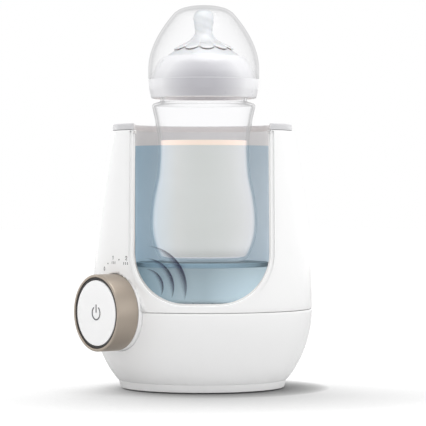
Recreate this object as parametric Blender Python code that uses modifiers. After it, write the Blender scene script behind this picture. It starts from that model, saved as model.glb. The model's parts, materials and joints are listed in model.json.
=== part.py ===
"""Water-bath bottle warmer with a U-shaped front window, a selector dial and a feeding bottle in its well.

Metres, +Z up. The origin is the centre of the base plate's flat underside, and the window faces -Y.
"""

import math

import bmesh
import bpy
from mathutils import Matrix, Vector

MM = 0.001
GAP = 0.3 * MM  # clearance between neighbouring pieces

# Housing
SEAM_Z = 50.3 * MM
SEAM_R = 70.0 * MM
DECK_Z = 163.4 * MM
DECK_R = 57.6 * MM
WALL = 2.4 * MM
TABLE_Z = -0.6 * MM  # the rubber feet stand this far below the base plate
FOOT_RING_Z = 0.2 * MM
BASE_PLATE_R = 49.2 * MM
BASE_PLATE_TOP = 3.6 * MM
POCKET_DEPTH = 1.2 * MM
SCREW_HEAD_R = 3.0 * MM
SCREW_SHANK_R = 1.5 * MM
SCREW_SEAT_Z = 1.8 * MM
RIM_TOP_Z = 167.6 * MM
RIM_TOP_R = 56.8 * MM
FOOT_CIRCLE_R = 40.0 * MM
SCREW_CIRCLE_R = 46.4 * MM

# Window
WINDOW_HALF_WIDTH = 42.7 * MM
WINDOW_BOTTOM_Z = 55.0 * MM
WINDOW_CORNER_R = 32.0 * MM
JAMB = 2.2 * MM

# Well
WELL_R = 42.5 * MM
LINER_WALL = 1.8 * MM
LINER_BOTTOM_Z = 58.0 * MM
PANE_IN_R = 42.6 * MM
PANE_OUT_R = 44.2 * MM
PANE_TOP_Z = 153.8 * MM
WATER_LEVEL_Z = 153.2 * MM
FLOOR_Z = 79.9 * MM
PANE_BACK_Y = -2.0 * MM
SHROUD_BOTTOM_Z = 55.4 * MM
ELEMENT_R = 28.0 * MM
ELEMENT_WIRE_R = 2.2 * MM
ELEMENT_Z = FLOOR_Z - 5.1 * MM
TERMINAL_X = 6.3 * MM
BOARD_Z = 16.0 * MM
BOARD_POST_X = 28.0 * MM

# Dial, measured along its axis from the housing's centre line
DIAL_YAW = math.radians(-51.5)
DIAL_Z = 49.7 * MM
DIAL_HOLE_R = 24.4 * MM
DIAL_BASE_FRONT = 68.2 * MM
DIAL_BACK = 68.5 * MM
DIAL_FRONT = 83.8 * MM
DIAL_R = 23.9 * MM
TRIM_R = 21.8 * MM
BUTTON_R = 20.3 * MM
BUTTON_FRONT = 83.5 * MM
WEB_FRONT = 75.5 * MM
SLEEVE_R = 8.0 * MM
DIAL_BOARD_FRONT = 48.6 * MM

# Bottle
BOTTLE_X = 0.8 * MM
BOTTLE_BOTTOM_Z = 80.4 * MM
BOTTLE_WALL = 1.4 * MM
NECK_R = 29.3 * MM
NECK_TOP_Z = 197.4 * MM
MILK_TOP_Z = 157.4 * MM
THREAD_PITCH = 6.0 * MM
THREAD_R = 1.3 * MM
RING_BORE_R = 31.8 * MM
RING_BOTTOM_Z = 184.3 * MM
RING_LEDGE_Z = 196.5 * MM
RING_TOP_Z = 211.2 * MM
DOME_WALL = 1.3 * MM

# Mains cable
CORD_R = 2.5 * MM
CORD_EXIT_Z = 14.0 * MM
CORD_FLOOR_Z = TABLE_Z + CORD_R + GAP
PLUG_REAR_X = 12.0 * MM
PLUG_Y = 118.0 * MM
PLUG_Z = TABLE_Z + 6.8 * MM

HOUSING_STEPS = 40
BOTTLE_STEPS = 28
DIAL_STEPS = 32
TEAT_STEPS = 20


def new_collection(name):
    """A collection in the scene."""
    collection = bpy.data.collections.new(name)
    bpy.context.scene.collection.children.link(collection)
    return collection


def clear_scene():
    """Remove what the file starts with."""
    for obj in list(bpy.data.objects):
        bpy.data.objects.remove(obj, do_unlink=True)
    for collection in list(bpy.data.collections):
        bpy.data.collections.remove(collection)


clear_scene()
PARTS = new_collection("bottle_warmer")
CUTTERS = new_collection("cutters")


def material(name, color, roughness, metallic=0.0, alpha=1.0):
    """A Principled material, made once for each name."""
    found = bpy.data.materials.get(name)
    if found:
        return found
    made = bpy.data.materials.new(name)
    made.use_nodes = True
    shader = made.node_tree.nodes["Principled BSDF"]
    shader.inputs["Base Color"].default_value = (*color, 1.0)
    shader.inputs["Roughness"].default_value = roughness
    shader.inputs["Metallic"].default_value = metallic
    shader.inputs["Alpha"].default_value = alpha
    made.diffuse_color = (*color, alpha)
    return made


def white_plastic():
    return material("white_gloss_plastic", (0.93, 0.93, 0.93), 0.25)


def grey_plastic():
    return material("light_grey_plastic", (0.66, 0.67, 0.68), 0.40)


def liner_plastic():
    return material("liner_blue_grey_plastic", (0.50, 0.60, 0.68), 0.35)


def shroud_plastic():
    return material("shroud_pale_plastic", (0.72, 0.78, 0.83), 0.45)


def clear_plastic():
    return material("clear_plastic", (0.93, 0.95, 0.96), 0.08, alpha=0.30)


def pane_plastic():
    return material("blue_tint_pane", (0.72, 0.82, 0.90), 0.10, alpha=0.35)


def water_look():
    return material("water", (0.62, 0.76, 0.86), 0.05, alpha=0.40)


def milk_look():
    return material("milk", (0.94, 0.91, 0.85), 0.40)


def silicone():
    return material("clear_silicone", (0.92, 0.92, 0.92), 0.30, alpha=0.60)


def champagne_metal():
    return material("champagne_metal", (0.45, 0.39, 0.33), 0.35, metallic=0.9)


def black_plastic():
    return material("black_plastic", (0.03, 0.03, 0.03), 0.45)


def rubber():
    return material("grey_rubber", (0.30, 0.31, 0.32), 0.80)


def steel():
    return material("steel", (0.62, 0.62, 0.62), 0.30, metallic=1.0)


def plate_metal():
    return material("plate_aluminium", (0.55, 0.58, 0.60), 0.35, metallic=1.0)


def circuit_board():
    return material("circuit_board", (0.05, 0.25, 0.12), 0.50)


def component_plastic():
    return material("component_plastic", (0.10, 0.12, 0.16), 0.50)


def copper_wire():
    return material("wire_sleeve", (0.75, 0.75, 0.78), 0.50)


def cable_plastic():
    return material("white_cable_plastic", (0.85, 0.85, 0.85), 0.45)


def pin_brass():
    return material("pin_brass", (0.72, 0.62, 0.35), 0.30, metallic=1.0)


def add_object(name, mesh, surface, parent=None, helper=False):
    """Link a mesh or curve as a named piece, or as a cutter that is never rendered."""
    obj = bpy.data.objects.new(name, mesh)
    if helper:
        CUTTERS.objects.link(obj)
        obj.hide_render = True
        obj.display_type = "WIRE"
    else:
        PARTS.objects.link(obj)
        mesh.materials.append(surface)
    obj.parent = parent
    return obj


def axis_empty(name, location, rotation=(0.0, 0.0, 0.0)):
    """An empty that marks the axis a group of pieces is built on."""
    empty = bpy.data.objects.new(name, None)
    empty.empty_display_size = 0.01
    empty.location = location
    empty.rotation_euler = rotation
    PARTS.objects.link(empty)
    return empty


def shade(obj):
    """Smooth the round faces and keep the edges sharp."""
    obj.data.shade_smooth()
    obj.data.set_sharp_from_angle(angle=math.radians(35))
    return obj


def profile_mesh(name, points, closed):
    """A mesh of edges in the XZ plane through (radius, height) points."""
    mesh = bpy.data.meshes.new(name)
    shape = bmesh.new()
    corners = [shape.verts.new((radius, 0.0, height)) for radius, height in points]
    for first, second in zip(corners, corners[1:]):
        shape.edges.new((first, second))
    if closed:
        shape.edges.new((corners[-1], corners[0]))
    shape.to_mesh(mesh)
    shape.free()
    return mesh


def turned(name, points, steps, surface=None, parent=None, closed=True, wall=0.0, helper=False):
    """Turn a profile about local Z; a wall makes an open profile a shell that thickens inwards."""
    obj = add_object(name, profile_mesh(name, points, closed), surface, parent, helper)
    screw = obj.modifiers.new("turn", "SCREW")
    screw.axis = "Z"
    screw.steps = steps
    screw.render_steps = steps
    screw.use_merge_vertices = True
    screw.merge_threshold = 0.00001
    screw.use_smooth_shade = True
    if wall:
        thicken = obj.modifiers.new("wall", "SOLIDIFY")
        thicken.thickness = wall
        thicken.offset = -1.0
        thicken.use_even_offset = True
    return obj


def disc(radius, low, high):
    """The profile of a plain round solid."""
    return [(0.0, high), (radius, high), (radius, low), (0.0, low)]


def tube(inner, outer, low, high):
    """The profile of a plain ring."""
    return [(outer, high), (outer, low), (inner, low), (inner, high)]


def box(name, size, center, surface, parent=None, bevel=0.0, helper=False):
    """A block from a cube primitive, with rounded edges if a bevel is given."""
    mesh = bpy.data.meshes.new(name)
    shape = bmesh.new()
    bmesh.ops.create_cube(shape, size=1.0, matrix=Matrix.Diagonal((*size, 1.0)))
    shape.to_mesh(mesh)
    shape.free()
    obj = add_object(name, mesh, surface, parent, helper)
    obj.location = center
    if bevel:
        rounding = obj.modifiers.new("rounding", "BEVEL")
        rounding.width = bevel
        rounding.segments = 2
    return obj


def cylinder(name, radius, length, center, rotation, surface, steps=16, parent=None, helper=False):
    """A cylinder primitive along local Z, centred on its length."""
    mesh = bpy.data.meshes.new(name)
    shape = bmesh.new()
    bmesh.ops.create_cone(
        shape, cap_ends=True, segments=steps, radius1=radius, radius2=radius, depth=length
    )
    shape.to_mesh(mesh)
    shape.free()
    obj = add_object(name, mesh, surface, parent, helper)
    obj.location = center
    obj.rotation_euler = rotation
    return obj


def wire(name, points, radius, surface, parent=None, resolution=2, helper=False):
    """A wire along straight segments, with filled ends."""
    curve = bpy.data.curves.new(name, "CURVE")
    curve.dimensions = "3D"
    curve.bevel_depth = radius
    curve.bevel_resolution = resolution
    curve.use_fill_caps = True
    spline = curve.splines.new("POLY")
    spline.points.add(len(points) - 1)
    for point, place in zip(spline.points, points):
        point.co = (*place, 1.0)
    return add_object(name, curve, surface, parent, helper)


def as_mesh(obj):
    """Replace a curve by a mesh of the same shape, so that it can be cut or joined."""
    name = obj.name
    bpy.context.view_layer.update()
    graph = bpy.context.evaluated_depsgraph_get()
    mesh = bpy.data.meshes.new_from_object(obj.evaluated_get(graph))
    shape = bmesh.new()
    shape.from_mesh(mesh)
    bmesh.ops.remove_doubles(shape, verts=shape.verts, dist=0.000001)
    bmesh.ops.recalc_face_normals(shape, faces=shape.faces)
    shape.to_mesh(mesh)
    shape.free()
    place = obj.matrix_world.copy()
    helper = obj.hide_render
    bpy.data.objects.remove(obj, do_unlink=True)
    made = bpy.data.objects.new(name, mesh)
    (CUTTERS if helper else PARTS).objects.link(made)
    made.matrix_world = place
    if helper:
        made.hide_render = True
        made.display_type = "WIRE"
    return made


def outline_solid(name, outline, back_y, front_y, surface=None, helper=True):
    """A plate with the given (x, z) outline, standing between two depths along Y."""
    curve = bpy.data.curves.new(name, "CURVE")
    curve.dimensions = "2D"
    curve.fill_mode = "BOTH"
    curve.extrude = abs(back_y - front_y) / 2
    spline = curve.splines.new("POLY")
    spline.points.add(len(outline) - 1)
    spline.use_cyclic_u = True
    for point, (across, height) in zip(spline.points, outline):
        point.co = (across, height, 0.0, 1.0)
    obj = add_object(name, curve, surface, helper=helper)
    obj.location = (0.0, (back_y + front_y) / 2, 0.0)
    obj.rotation_euler = (math.radians(90), 0.0, 0.0)
    return as_mesh(obj)


def boolean(obj, other, operation):
    """Add an exact Boolean to a piece."""
    step = obj.modifiers.new(other.name, "BOOLEAN")
    step.operation = operation
    step.object = other
    step.solver = "EXACT"
    return obj


def bezier(start, handle_1, handle_2, end, count):
    """Points along a cubic curve, both ends included."""
    points = []
    for index in range(count + 1):
        t = index / count
        weights = ((1 - t) ** 3, 3 * t * (1 - t) ** 2, 3 * t * t * (1 - t), t**3)
        corners = (start, handle_1, handle_2, end)
        points.append(tuple(sum(w * c[i] for w, c in zip(weights, corners)) for i in range(len(start))))
    return points


def arc(center, radius, start, end, count):
    """Points on an arc, angles in degrees, both ends included."""
    points = []
    for index in range(count + 1):
        angle = math.radians(start + (end - start) * index / count)
        points.append((center[0] + radius * math.cos(angle), center[1] + radius * math.sin(angle)))
    return points


def in_mm(points):
    """Millimetre pairs as metres."""
    return [(radius * MM, height * MM) for radius, height in points]


def around(count, radius, start):
    """Evenly spaced (x, y) places on a circle, starting at an angle in degrees."""
    turns = [math.radians(start + 360 * index / count) for index in range(count)]
    return [(radius * math.cos(turn), radius * math.sin(turn)) for turn in turns]


def window_outline(grow, top=RIM_TOP_Z + 10 * MM):
    """The U of the window as (x, z) points, widened all round by grow."""
    half = WINDOW_HALF_WIDTH + grow
    corner = WINDOW_CORNER_R + grow
    center_x = WINDOW_HALF_WIDTH - WINDOW_CORNER_R
    center_z = WINDOW_BOTTOM_Z + WINDOW_CORNER_R
    left = arc((-center_x, center_z), corner, 180, 270, 10)
    right = arc((center_x, center_z), corner, 270, 360, 10)
    return [(-half, top), *left, *right, (half, top)]


def housing_side(top_z, bottom_z, inset, count):
    """The upper housing's outer wall from top to bottom, moved inwards by inset."""
    slope_r = DECK_R + 6.9 * MM
    return bezier(
        (DECK_R - inset, top_z),
        (slope_r - inset, top_z - 39.0 * MM),
        (SEAM_R - inset, bottom_z + 36.0 * MM),
        (SEAM_R - inset, bottom_z),
        count,
    )


def bowl_side(top, bottom, inset, count):
    """The lower housing's wall from the seam down to the foot."""
    handle_1 = (SEAM_R - inset, 34.5 * MM)
    handle_2 = (63.6 * MM - inset, 15.8 * MM)
    return bezier(top, handle_1, handle_2, bottom, count)


def make_dial_hole(dial_axis):
    """The round opening for the dial base, through both housings."""
    length = 37.0 * MM
    middle = (0.0, 0.0, 58.0 * MM + length / 2)
    hole = cylinder("dial_hole", DIAL_HOLE_R, length, middle, (0, 0, 0), None, DIAL_STEPS, dial_axis, True)
    return hole


def make_upper_housing(dial_hole):
    """The tapered shell with its deck, the U window and the window's deep jamb."""
    outer = [(WELL_R + 2.6 * MM, DECK_Z), *housing_side(DECK_Z, SEAM_Z + GAP / 2, 0.0, 7)]
    shell = turned("upper_housing", outer, HOUSING_STEPS, white_plastic(), closed=False, wall=WALL)
    inner_r = PANE_OUT_R + 1.6 * MM
    low = WINDOW_BOTTOM_Z - 8 * MM
    core = housing_side(DECK_Z - 0.9 * MM, low, 0.9 * MM, 7)
    core += [(inner_r, low), (inner_r, DECK_Z - 0.9 * MM)]
    jamb = turned("jamb_core", core, HOUSING_STEPS, helper=True)
    band = outline_solid("jamb_band", window_outline(JAMB), PANE_BACK_Y, -90 * MM)
    boolean(jamb, band, "INTERSECT")
    boolean(shell, jamb, "UNION")
    opening = outline_solid("window_opening", window_outline(0.0), PANE_BACK_Y, -95 * MM)
    boolean(shell, opening, "DIFFERENCE")
    boolean(shell, dial_hole, "DIFFERENCE")
    return opening


def make_top_rim(opening):
    """The light grey trim on the deck, open over the window."""
    low = DECK_Z + GAP
    profile = [
        (WELL_R + 0.8 * MM, RIM_TOP_Z),
        *arc((RIM_TOP_R - 1.2 * MM, RIM_TOP_Z - 1.2 * MM), 1.2 * MM, 90, 10, 3),
        (DECK_R - 0.1 * MM, low),
        (WELL_R, low),
        (WELL_R, RIM_TOP_Z - 0.8 * MM),
    ]
    rim = turned("top_rim", profile, HOUSING_STEPS, grey_plastic())
    boolean(rim, opening, "DIFFERENCE")


def screw_hole_cutters():
    """Clearance holes for the housing screws, each with a wider seat for the head."""
    profile = [
        (0.0, 12 * MM),
        (SCREW_SHANK_R + GAP, 12 * MM),
        (SCREW_SHANK_R + GAP, SCREW_SEAT_Z),
        (SCREW_HEAD_R + 0.4 * MM, SCREW_SEAT_Z),
        (SCREW_HEAD_R + 0.4 * MM, -2 * MM),
        (0.0, -2 * MM),
    ]
    holes = []
    for index, (x, y) in enumerate(around(4, SCREW_CIRCLE_R, 45), 1):
        hole = turned(f"screw_hole_{index}", profile, 12, closed=False, helper=True)
        hole.location = (x, y, 0.0)
        holes.append(hole)
    return holes


def make_lower_housing(dial_hole, screw_holes):
    """The bowl with its foot ring, a flange for the screws and a lip that locates the upper housing."""
    top = SEAM_Z - GAP / 2
    lip_r = SEAM_R - WALL - 0.4 * MM
    flange_low = BASE_PLATE_TOP + GAP
    flange_high = flange_low + 2.3 * MM
    profile = [
        (lip_r, top + 2.2 * MM),
        (lip_r, top),
        *bowl_side((SEAM_R, top), (54.1 * MM, 5.4 * MM), 0.0, 7),
        (53.3 * MM, 5.0 * MM),
        (52.0 * MM, FOOT_RING_Z),
        (BASE_PLATE_R + GAP, FOOT_RING_Z),
        (BASE_PLATE_R + GAP, flange_low),
        (43.4 * MM, flange_low),
        (43.4 * MM, flange_high),
        *reversed(bowl_side((lip_r - 1.4 * MM, top - 5 * MM), (52.6 * MM, flange_high), 4.0 * MM, 4)),
        (lip_r - 1.4 * MM, top + 2.2 * MM),
    ]
    bowl = turned("lower_housing", profile, HOUSING_STEPS, white_plastic())
    boolean(bowl, dial_hole, "DIFFERENCE")
    cord_place = (0.0, 60 * MM, CORD_EXIT_Z)
    sideways = (math.radians(90), 0.0, 0.0)
    cord_hole = cylinder("cord_hole", 5.3 * MM, 26 * MM, cord_place, sideways, None, 20, None, True)
    boolean(bowl, cord_hole, "DIFFERENCE")
    for hole in screw_holes:
        boolean(bowl, hole, "DIFFERENCE")


def make_base_plate(screw_holes):
    """The round bottom cover, with posts under the circuit board and pockets for the feet."""
    profile = disc(BASE_PLATE_R, 0.0, BASE_PLATE_TOP)
    plate = turned("base_plate", profile, HOUSING_STEPS, white_plastic(), closed=False)
    low = BASE_PLATE_TOP - 1.0 * MM
    length = BOARD_Z - GAP - low
    for index, (side, y) in enumerate(((-1, -10), (1, -10), (-1, 26), (1, 26)), 1):
        place = (side * BOARD_POST_X, y * MM, low + length / 2)
        post = cylinder(f"board_post_{index}", 2.5 * MM, length, place, (0, 0, 0), None, 12, None, True)
        boolean(plate, post, "UNION")
    depth = 2 * POCKET_DEPTH
    for index, (x, y) in enumerate(around(4, FOOT_CIRCLE_R, 0), 1):
        name = f"foot_pocket_{index}"
        pocket = cylinder(name, 5.4 * MM, depth, (x, y, 0.0), (0, 0, 0), None, 16, None, True)
        boolean(plate, pocket, "DIFFERENCE")
    for hole in screw_holes:
        boolean(plate, hole, "DIFFERENCE")


def make_feet_and_screws():
    """Four rubber feet and four screws that hold the base plate."""
    foot_top = POCKET_DEPTH - GAP
    foot = [
        (0.0, foot_top),
        (5.0 * MM, foot_top),
        (5.0 * MM, TABLE_Z + 0.4 * MM),
        (4.6 * MM, TABLE_Z),
        (0.0, TABLE_Z),
    ]
    for index, (x, y) in enumerate(around(4, FOOT_CIRCLE_R, 0), 1):
        turned(f"rubber_foot_{index}", foot, 16, rubber(), closed=False).location = (x, y, 0.0)
    head_top = SCREW_SEAT_Z - GAP
    screw = [
        (0.0, 11 * MM),
        (SCREW_SHANK_R, 9.6 * MM),
        (SCREW_SHANK_R, head_top),
        (SCREW_HEAD_R, head_top),
        (SCREW_HEAD_R - 0.4 * MM, 0.5 * MM),
        (0.0, 0.3 * MM),
    ]
    for index, (x, y) in enumerate(around(4, SCREW_CIRCLE_R, 45), 1):
        turned(f"housing_screw_{index}", screw, 12, steel(), closed=False).location = (x, y, 0.0)


def make_well(opening):
    """The liner behind, the clear pane in front, and the gasket between pane and jamb."""
    top = DECK_Z - GAP
    ring = tube(WELL_R, WELL_R + LINER_WALL, LINER_BOTTOM_Z, top)
    liner = turned("well_liner", ring, HOUSING_STEPS, liner_plastic())
    front = PANE_BACK_Y + GAP
    size = (0.2, 0.1, 0.4)
    front_half = box("liner_front", size, (0.0, front - size[1] / 2, 0.1), None, helper=True)
    boolean(liner, front_half, "DIFFERENCE")

    shell = tube(PANE_IN_R, PANE_OUT_R, WINDOW_BOTTOM_Z - 10 * MM, PANE_TOP_Z)
    pane = turned("window_pane", shell, HOUSING_STEPS, pane_plastic())
    pane_shape = outline_solid("pane_shape", window_outline(1.5 * MM), PANE_BACK_Y, -70 * MM)
    boolean(pane, pane_shape, "INTERSECT")

    seat = tube(PANE_OUT_R + GAP, PANE_OUT_R + 1.3 * MM, WINDOW_BOTTOM_Z - 10 * MM, PANE_TOP_Z)
    gasket = turned("window_gasket", seat, HOUSING_STEPS, rubber())
    gasket_shape = outline_solid("gasket_shape", window_outline(JAMB), PANE_BACK_Y, -60 * MM)
    boolean(gasket, gasket_shape, "INTERSECT")
    boolean(gasket, opening, "DIFFERENCE")

    bath = tube(35.5 * MM, WELL_R - GAP, FLOOR_Z + GAP, WATER_LEVEL_Z)
    turned("water", bath, BOTTLE_STEPS, water_look())


def make_heater():
    """The heating plate that floors the well, its seal, and the parts that hang under it."""
    low = FLOOR_Z - 2.6 * MM
    turned("heating_plate", disc(40.6 * MM, low, FLOOR_Z), BOTTLE_STEPS, plate_metal(), closed=False)
    turned("plate_seal", tube(40.9 * MM, 42.2 * MM, low - 0.3 * MM, FLOOR_Z), BOTTLE_STEPS, rubber())

    out_r = WELL_R - GAP
    shroud_top = low - 0.6 * MM
    cup = [
        (out_r, shroud_top),
        (out_r, SHROUD_BOTTOM_Z),
        (0.0, SHROUD_BOTTOM_Z),
    ]
    shroud = turned("heater_shroud", cup, BOTTLE_STEPS, shroud_plastic(), closed=False, wall=1.8 * MM)
    for side in (-1, 1):
        place = (side * TERMINAL_X, ELEMENT_R, SHROUD_BOTTOM_Z)
        hole = cylinder(f"lead_hole_{side + 2}", 1.6 * MM, 8 * MM, place, (0, 0, 0), None, 12, None, True)
        boolean(shroud, hole, "DIFFERENCE")

    half_gap = math.degrees(math.asin(TERMINAL_X / ELEMENT_R))
    ring = arc((0.0, 0.0), ELEMENT_R, 90 + half_gap, 450 - half_gap, 20)
    path = [(x, y, ELEMENT_Z) for x, y in ring]
    end_z = ELEMENT_Z - 8.5 * MM
    path = [(path[0][0], path[0][1], end_z), *path, (path[-1][0], path[-1][1], end_z)]
    wire("heating_element", path, ELEMENT_WIRE_R, steel())

    clamp_top = ELEMENT_Z - ELEMENT_WIRE_R - GAP
    clamp = box("element_clamp", (66 * MM, 10 * MM, 1.2 * MM), (0, 0, clamp_top - 0.6 * MM), steel())
    hole = cylinder("clamp_hole", 2.0 * MM, 6 * MM, (0, 0, clamp_top), (0, 0, 0), None, 12, None, True)
    boolean(clamp, hole, "DIFFERENCE")
    head = clamp_top - 1.5 * MM
    profile = [
        (0.0, low - GAP),
        (1.6 * MM, low - GAP),
        (1.6 * MM, head),
        (3.0 * MM, head),
        (3.0 * MM, head - 1.4 * MM),
        (0.0, head - 1.4 * MM),
    ]
    turned("clamp_screw", profile, 12, steel(), closed=False)

    sensor = disc(3.2 * MM, low - 6 * MM, low - GAP)
    turned("temperature_sensor", sensor, 16, component_plastic(), closed=False).location = (0, -14 * MM, 0)
    fuse_place = (12 * MM, 12 * MM, low - 2.4 * MM)
    cylinder("thermal_fuse", 1.8 * MM, 10 * MM, fuse_place, (0, math.radians(90), 0), white_plastic(), 12)


def make_electronics():
    """The mains board with its parts, and the wires from it."""
    board_top = BOARD_Z + 1.6 * MM
    box("control_board", (66 * MM, 46 * MM, 1.6 * MM), (0, 8 * MM, BOARD_Z + 0.8 * MM), circuit_board())
    on_board = board_top + GAP
    box("relay", (19 * MM, 15 * MM, 15 * MM), (18 * MM, 4 * MM, on_board + 7.5 * MM), component_plastic())
    block = (24 * MM, 9 * MM, 11 * MM)
    box("terminal_block", block, (0, 24 * MM, on_board + 5.5 * MM), component_plastic())
    capacitor = disc(5.0 * MM, on_board, on_board + 16 * MM)
    turned("capacitor", capacitor, 16, component_plastic(), closed=False).location = (-2 * MM, 2 * MM, 0)

    block_top = on_board + 11 * MM
    element_end = ELEMENT_Z - 8.5 * MM - GAP
    for index, side in enumerate((-1, 1), 1):
        start = (side * TERMINAL_X, ELEMENT_R - 0.7 * MM, element_end)
        turn = (side * TERMINAL_X, ELEMENT_R - 0.7 * MM, 42 * MM)
        end = (side * 4 * MM, 24 * MM, block_top + GAP)
        wire(f"heater_lead_{index}", [start, turn, end], 0.8 * MM, copper_wire(), resolution=1)
        start = (side * 1.3 * MM, 49.6 * MM, CORD_EXIT_Z)
        turn = (side * 3 * MM, 38 * MM, 20 * MM)
        end = (side * 3 * MM, 28.9 * MM, 23 * MM)
        wire(f"mains_lead_{index}", [start, turn, end], 0.8 * MM, copper_wire(), resolution=1)

    behind_dial = Matrix.Rotation(DIAL_YAW, 3, "Z") @ Vector((0.0, -46.2 * MM, 0.0))
    path = bezier(
        (behind_dial.x, behind_dial.y, 42 * MM),
        (behind_dial.x * 0.7, behind_dial.y * 0.7, 44 * MM),
        (-22 * MM, -8 * MM, 34 * MM),
        (-22 * MM, -8 * MM, board_top + GAP),
        7,
    )
    wire("dial_cable", path, 1.2 * MM, copper_wire(), resolution=1)


def make_dial_fixed(dial_axis):
    """What stays still at the dial: the round base, the rotary switch, its board and the push switch."""
    back = 61.5 * MM
    face = DIAL_BASE_FRONT - 2.0 * MM
    rim_r = DIAL_HOLE_R - GAP
    bore_r = SLEEVE_R + GAP
    profile = [
        (rim_r, DIAL_BASE_FRONT),
        (rim_r, back),
        (rim_r - 2.0 * MM, back),
        (rim_r - 2.0 * MM, face),
        (bore_r + 2.0 * MM, face),
        (bore_r + 2.0 * MM, back),
        (bore_r, back),
        (bore_r, DIAL_BASE_FRONT),
    ]
    turned("dial_base", profile, DIAL_STEPS, white_plastic(), dial_axis)
    body_low = DIAL_BOARD_FRONT + GAP
    body = tube(5.0 * MM, 9.5 * MM, body_low, 58.7 * MM)
    turned("selector_body", body, 24, component_plastic(), dial_axis)
    size = (22 * MM, 21 * MM, 1.6 * MM)
    place = (0.0, -3.4 * MM, DIAL_BOARD_FRONT - 0.8 * MM)
    box("dial_board", size, place, circuit_board(), dial_axis)
    switch = [
        (0.0, 52.2 * MM),
        (1.6 * MM, 52.2 * MM),
        (1.6 * MM, 51.4 * MM),
        (3.4 * MM, 51.4 * MM),
        (3.4 * MM, body_low),
        (0.0, body_low),
    ]
    turned("tact_switch", switch, 16, component_plastic(), dial_axis, closed=False)


def make_dial(dial_axis):
    """The grip ring with its inner web, the black trim ring, and the sleeve that turns the switch."""
    web_back = WEB_FRONT - 1.5 * MM
    inner = TRIM_R + GAP
    profile = [
        (inner + 0.2 * MM, DIAL_FRONT),
        (DIAL_R - 0.5 * MM, DIAL_FRONT),
        (DIAL_R, DIAL_FRONT - 0.5 * MM),
        (DIAL_R, DIAL_BACK + 0.4 * MM),
        (DIAL_R - 0.4 * MM, DIAL_BACK),
        (inner, DIAL_BACK),
        (inner, web_back),
        (3.2 * MM, web_back),
        (3.2 * MM, WEB_FRONT),
        (inner, WEB_FRONT),
        (inner, DIAL_FRONT - 0.2 * MM),
    ]
    turned("dial_ring", profile, DIAL_STEPS, champagne_metal(), dial_axis)
    trim = tube(BUTTON_R + GAP, TRIM_R, WEB_FRONT + GAP, BUTTON_FRONT - 0.4 * MM)
    turned("dial_trim", trim, DIAL_STEPS, black_plastic(), dial_axis)
    sleeve = tube(5.2 * MM, SLEEVE_R, 59.0 * MM, web_back - GAP)
    turned("dial_sleeve", sleeve, 24, black_plastic(), dial_axis)


def make_start_button(dial_axis):
    """The round push button, its stem and its return spring."""
    under = BUTTON_FRONT - 1.8 * MM
    profile = [
        (0.0, BUTTON_FRONT),
        (BUTTON_R - 0.6 * MM, BUTTON_FRONT),
        (BUTTON_R, BUTTON_FRONT - 0.6 * MM),
        (BUTTON_R, WEB_FRONT + 2.3 * MM),
        (BUTTON_R - 1.6 * MM, WEB_FRONT + 2.3 * MM),
        (BUTTON_R - 1.6 * MM, under),
        (0.0, under),
    ]
    turned("start_button", profile, DIAL_STEPS, white_plastic(), dial_axis, closed=False)
    stem = disc(2.2 * MM, 54.0 * MM, under - GAP)
    turned("button_stem", stem, 12, grey_plastic(), dial_axis, closed=False)
    wire_r = 0.4 * MM
    low = WEB_FRONT + wire_r + GAP
    high = under - wire_r - GAP
    turns = 3.0
    count = 27
    coil = []
    for index in range(count + 1):
        angle = 2 * math.pi * turns * index / count
        along = low + (high - low) * index / count
        coil.append((4.0 * MM * math.cos(angle), 4.0 * MM * math.sin(angle), along))
    wire("button_spring", coil, wire_r, steel(), dial_axis, resolution=1)


def thread(name, radius, low, turns, parent):
    """A helical ridge about the bottle's axis."""
    per_turn = 14
    count = round(turns * per_turn)
    path = []
    for index in range(count + 1):
        angle = 2 * math.pi * index / per_turn
        height = low + THREAD_PITCH * index / per_turn
        path.append((radius * math.cos(angle), radius * math.sin(angle), height))
    ridge = wire(name, path, THREAD_R, None, parent, resolution=1, helper=True)
    return as_mesh(ridge)


def make_bottle(bottle_axis):
    """The clear bottle with its threaded neck, and the milk in it."""
    body = in_mm([
        (33.1, 179.4), (31.4, 171.5), (29.5, 161.0), (29.0, 149.0), (29.9, 136.0),
        (32.3, 124.0), (34.1, 111.0), (34.1, 101.0), (32.2, 91.0), (28.4, 82.4),
    ])
    profile = [
        (NECK_R, NECK_TOP_Z),
        (NECK_R, RING_BOTTOM_Z + 1.2 * MM),
        (27.8 * MM, RING_BOTTOM_Z),
        (27.8 * MM, 182.4 * MM),
        (32.0 * MM, 181.2 * MM),
        *body,
        (26.6 * MM, BOTTLE_BOTTOM_Z + 0.3 * MM),
        (0.0, BOTTLE_BOTTOM_Z),
    ]
    bottle = turned(
        "bottle", profile, BOTTLE_STEPS, clear_plastic(), bottle_axis, closed=False, wall=BOTTLE_WALL
    )
    ridge = thread("neck_thread", NECK_R + 0.1 * MM, 187.6 * MM, 1.25, bottle_axis)
    boolean(bottle, ridge, "UNION")

    inset = BOTTLE_WALL + 0.45 * MM
    wet = [(radius - inset, height) for radius, height in body if height < MILK_TOP_Z]
    top_r = wet[0][0] + 0.2 * MM
    low = BOTTLE_BOTTOM_Z + BOTTLE_WALL + 0.7 * MM
    wet = [(radius, max(height, low + 1.5 * MM)) for radius, height in wet]
    milk = [(0.0, MILK_TOP_Z), (top_r, MILK_TOP_Z), *wet, (24.0 * MM, low), (0.0, low)]
    turned("milk", milk, BOTTLE_STEPS, milk_look(), bottle_axis, closed=False)


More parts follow.
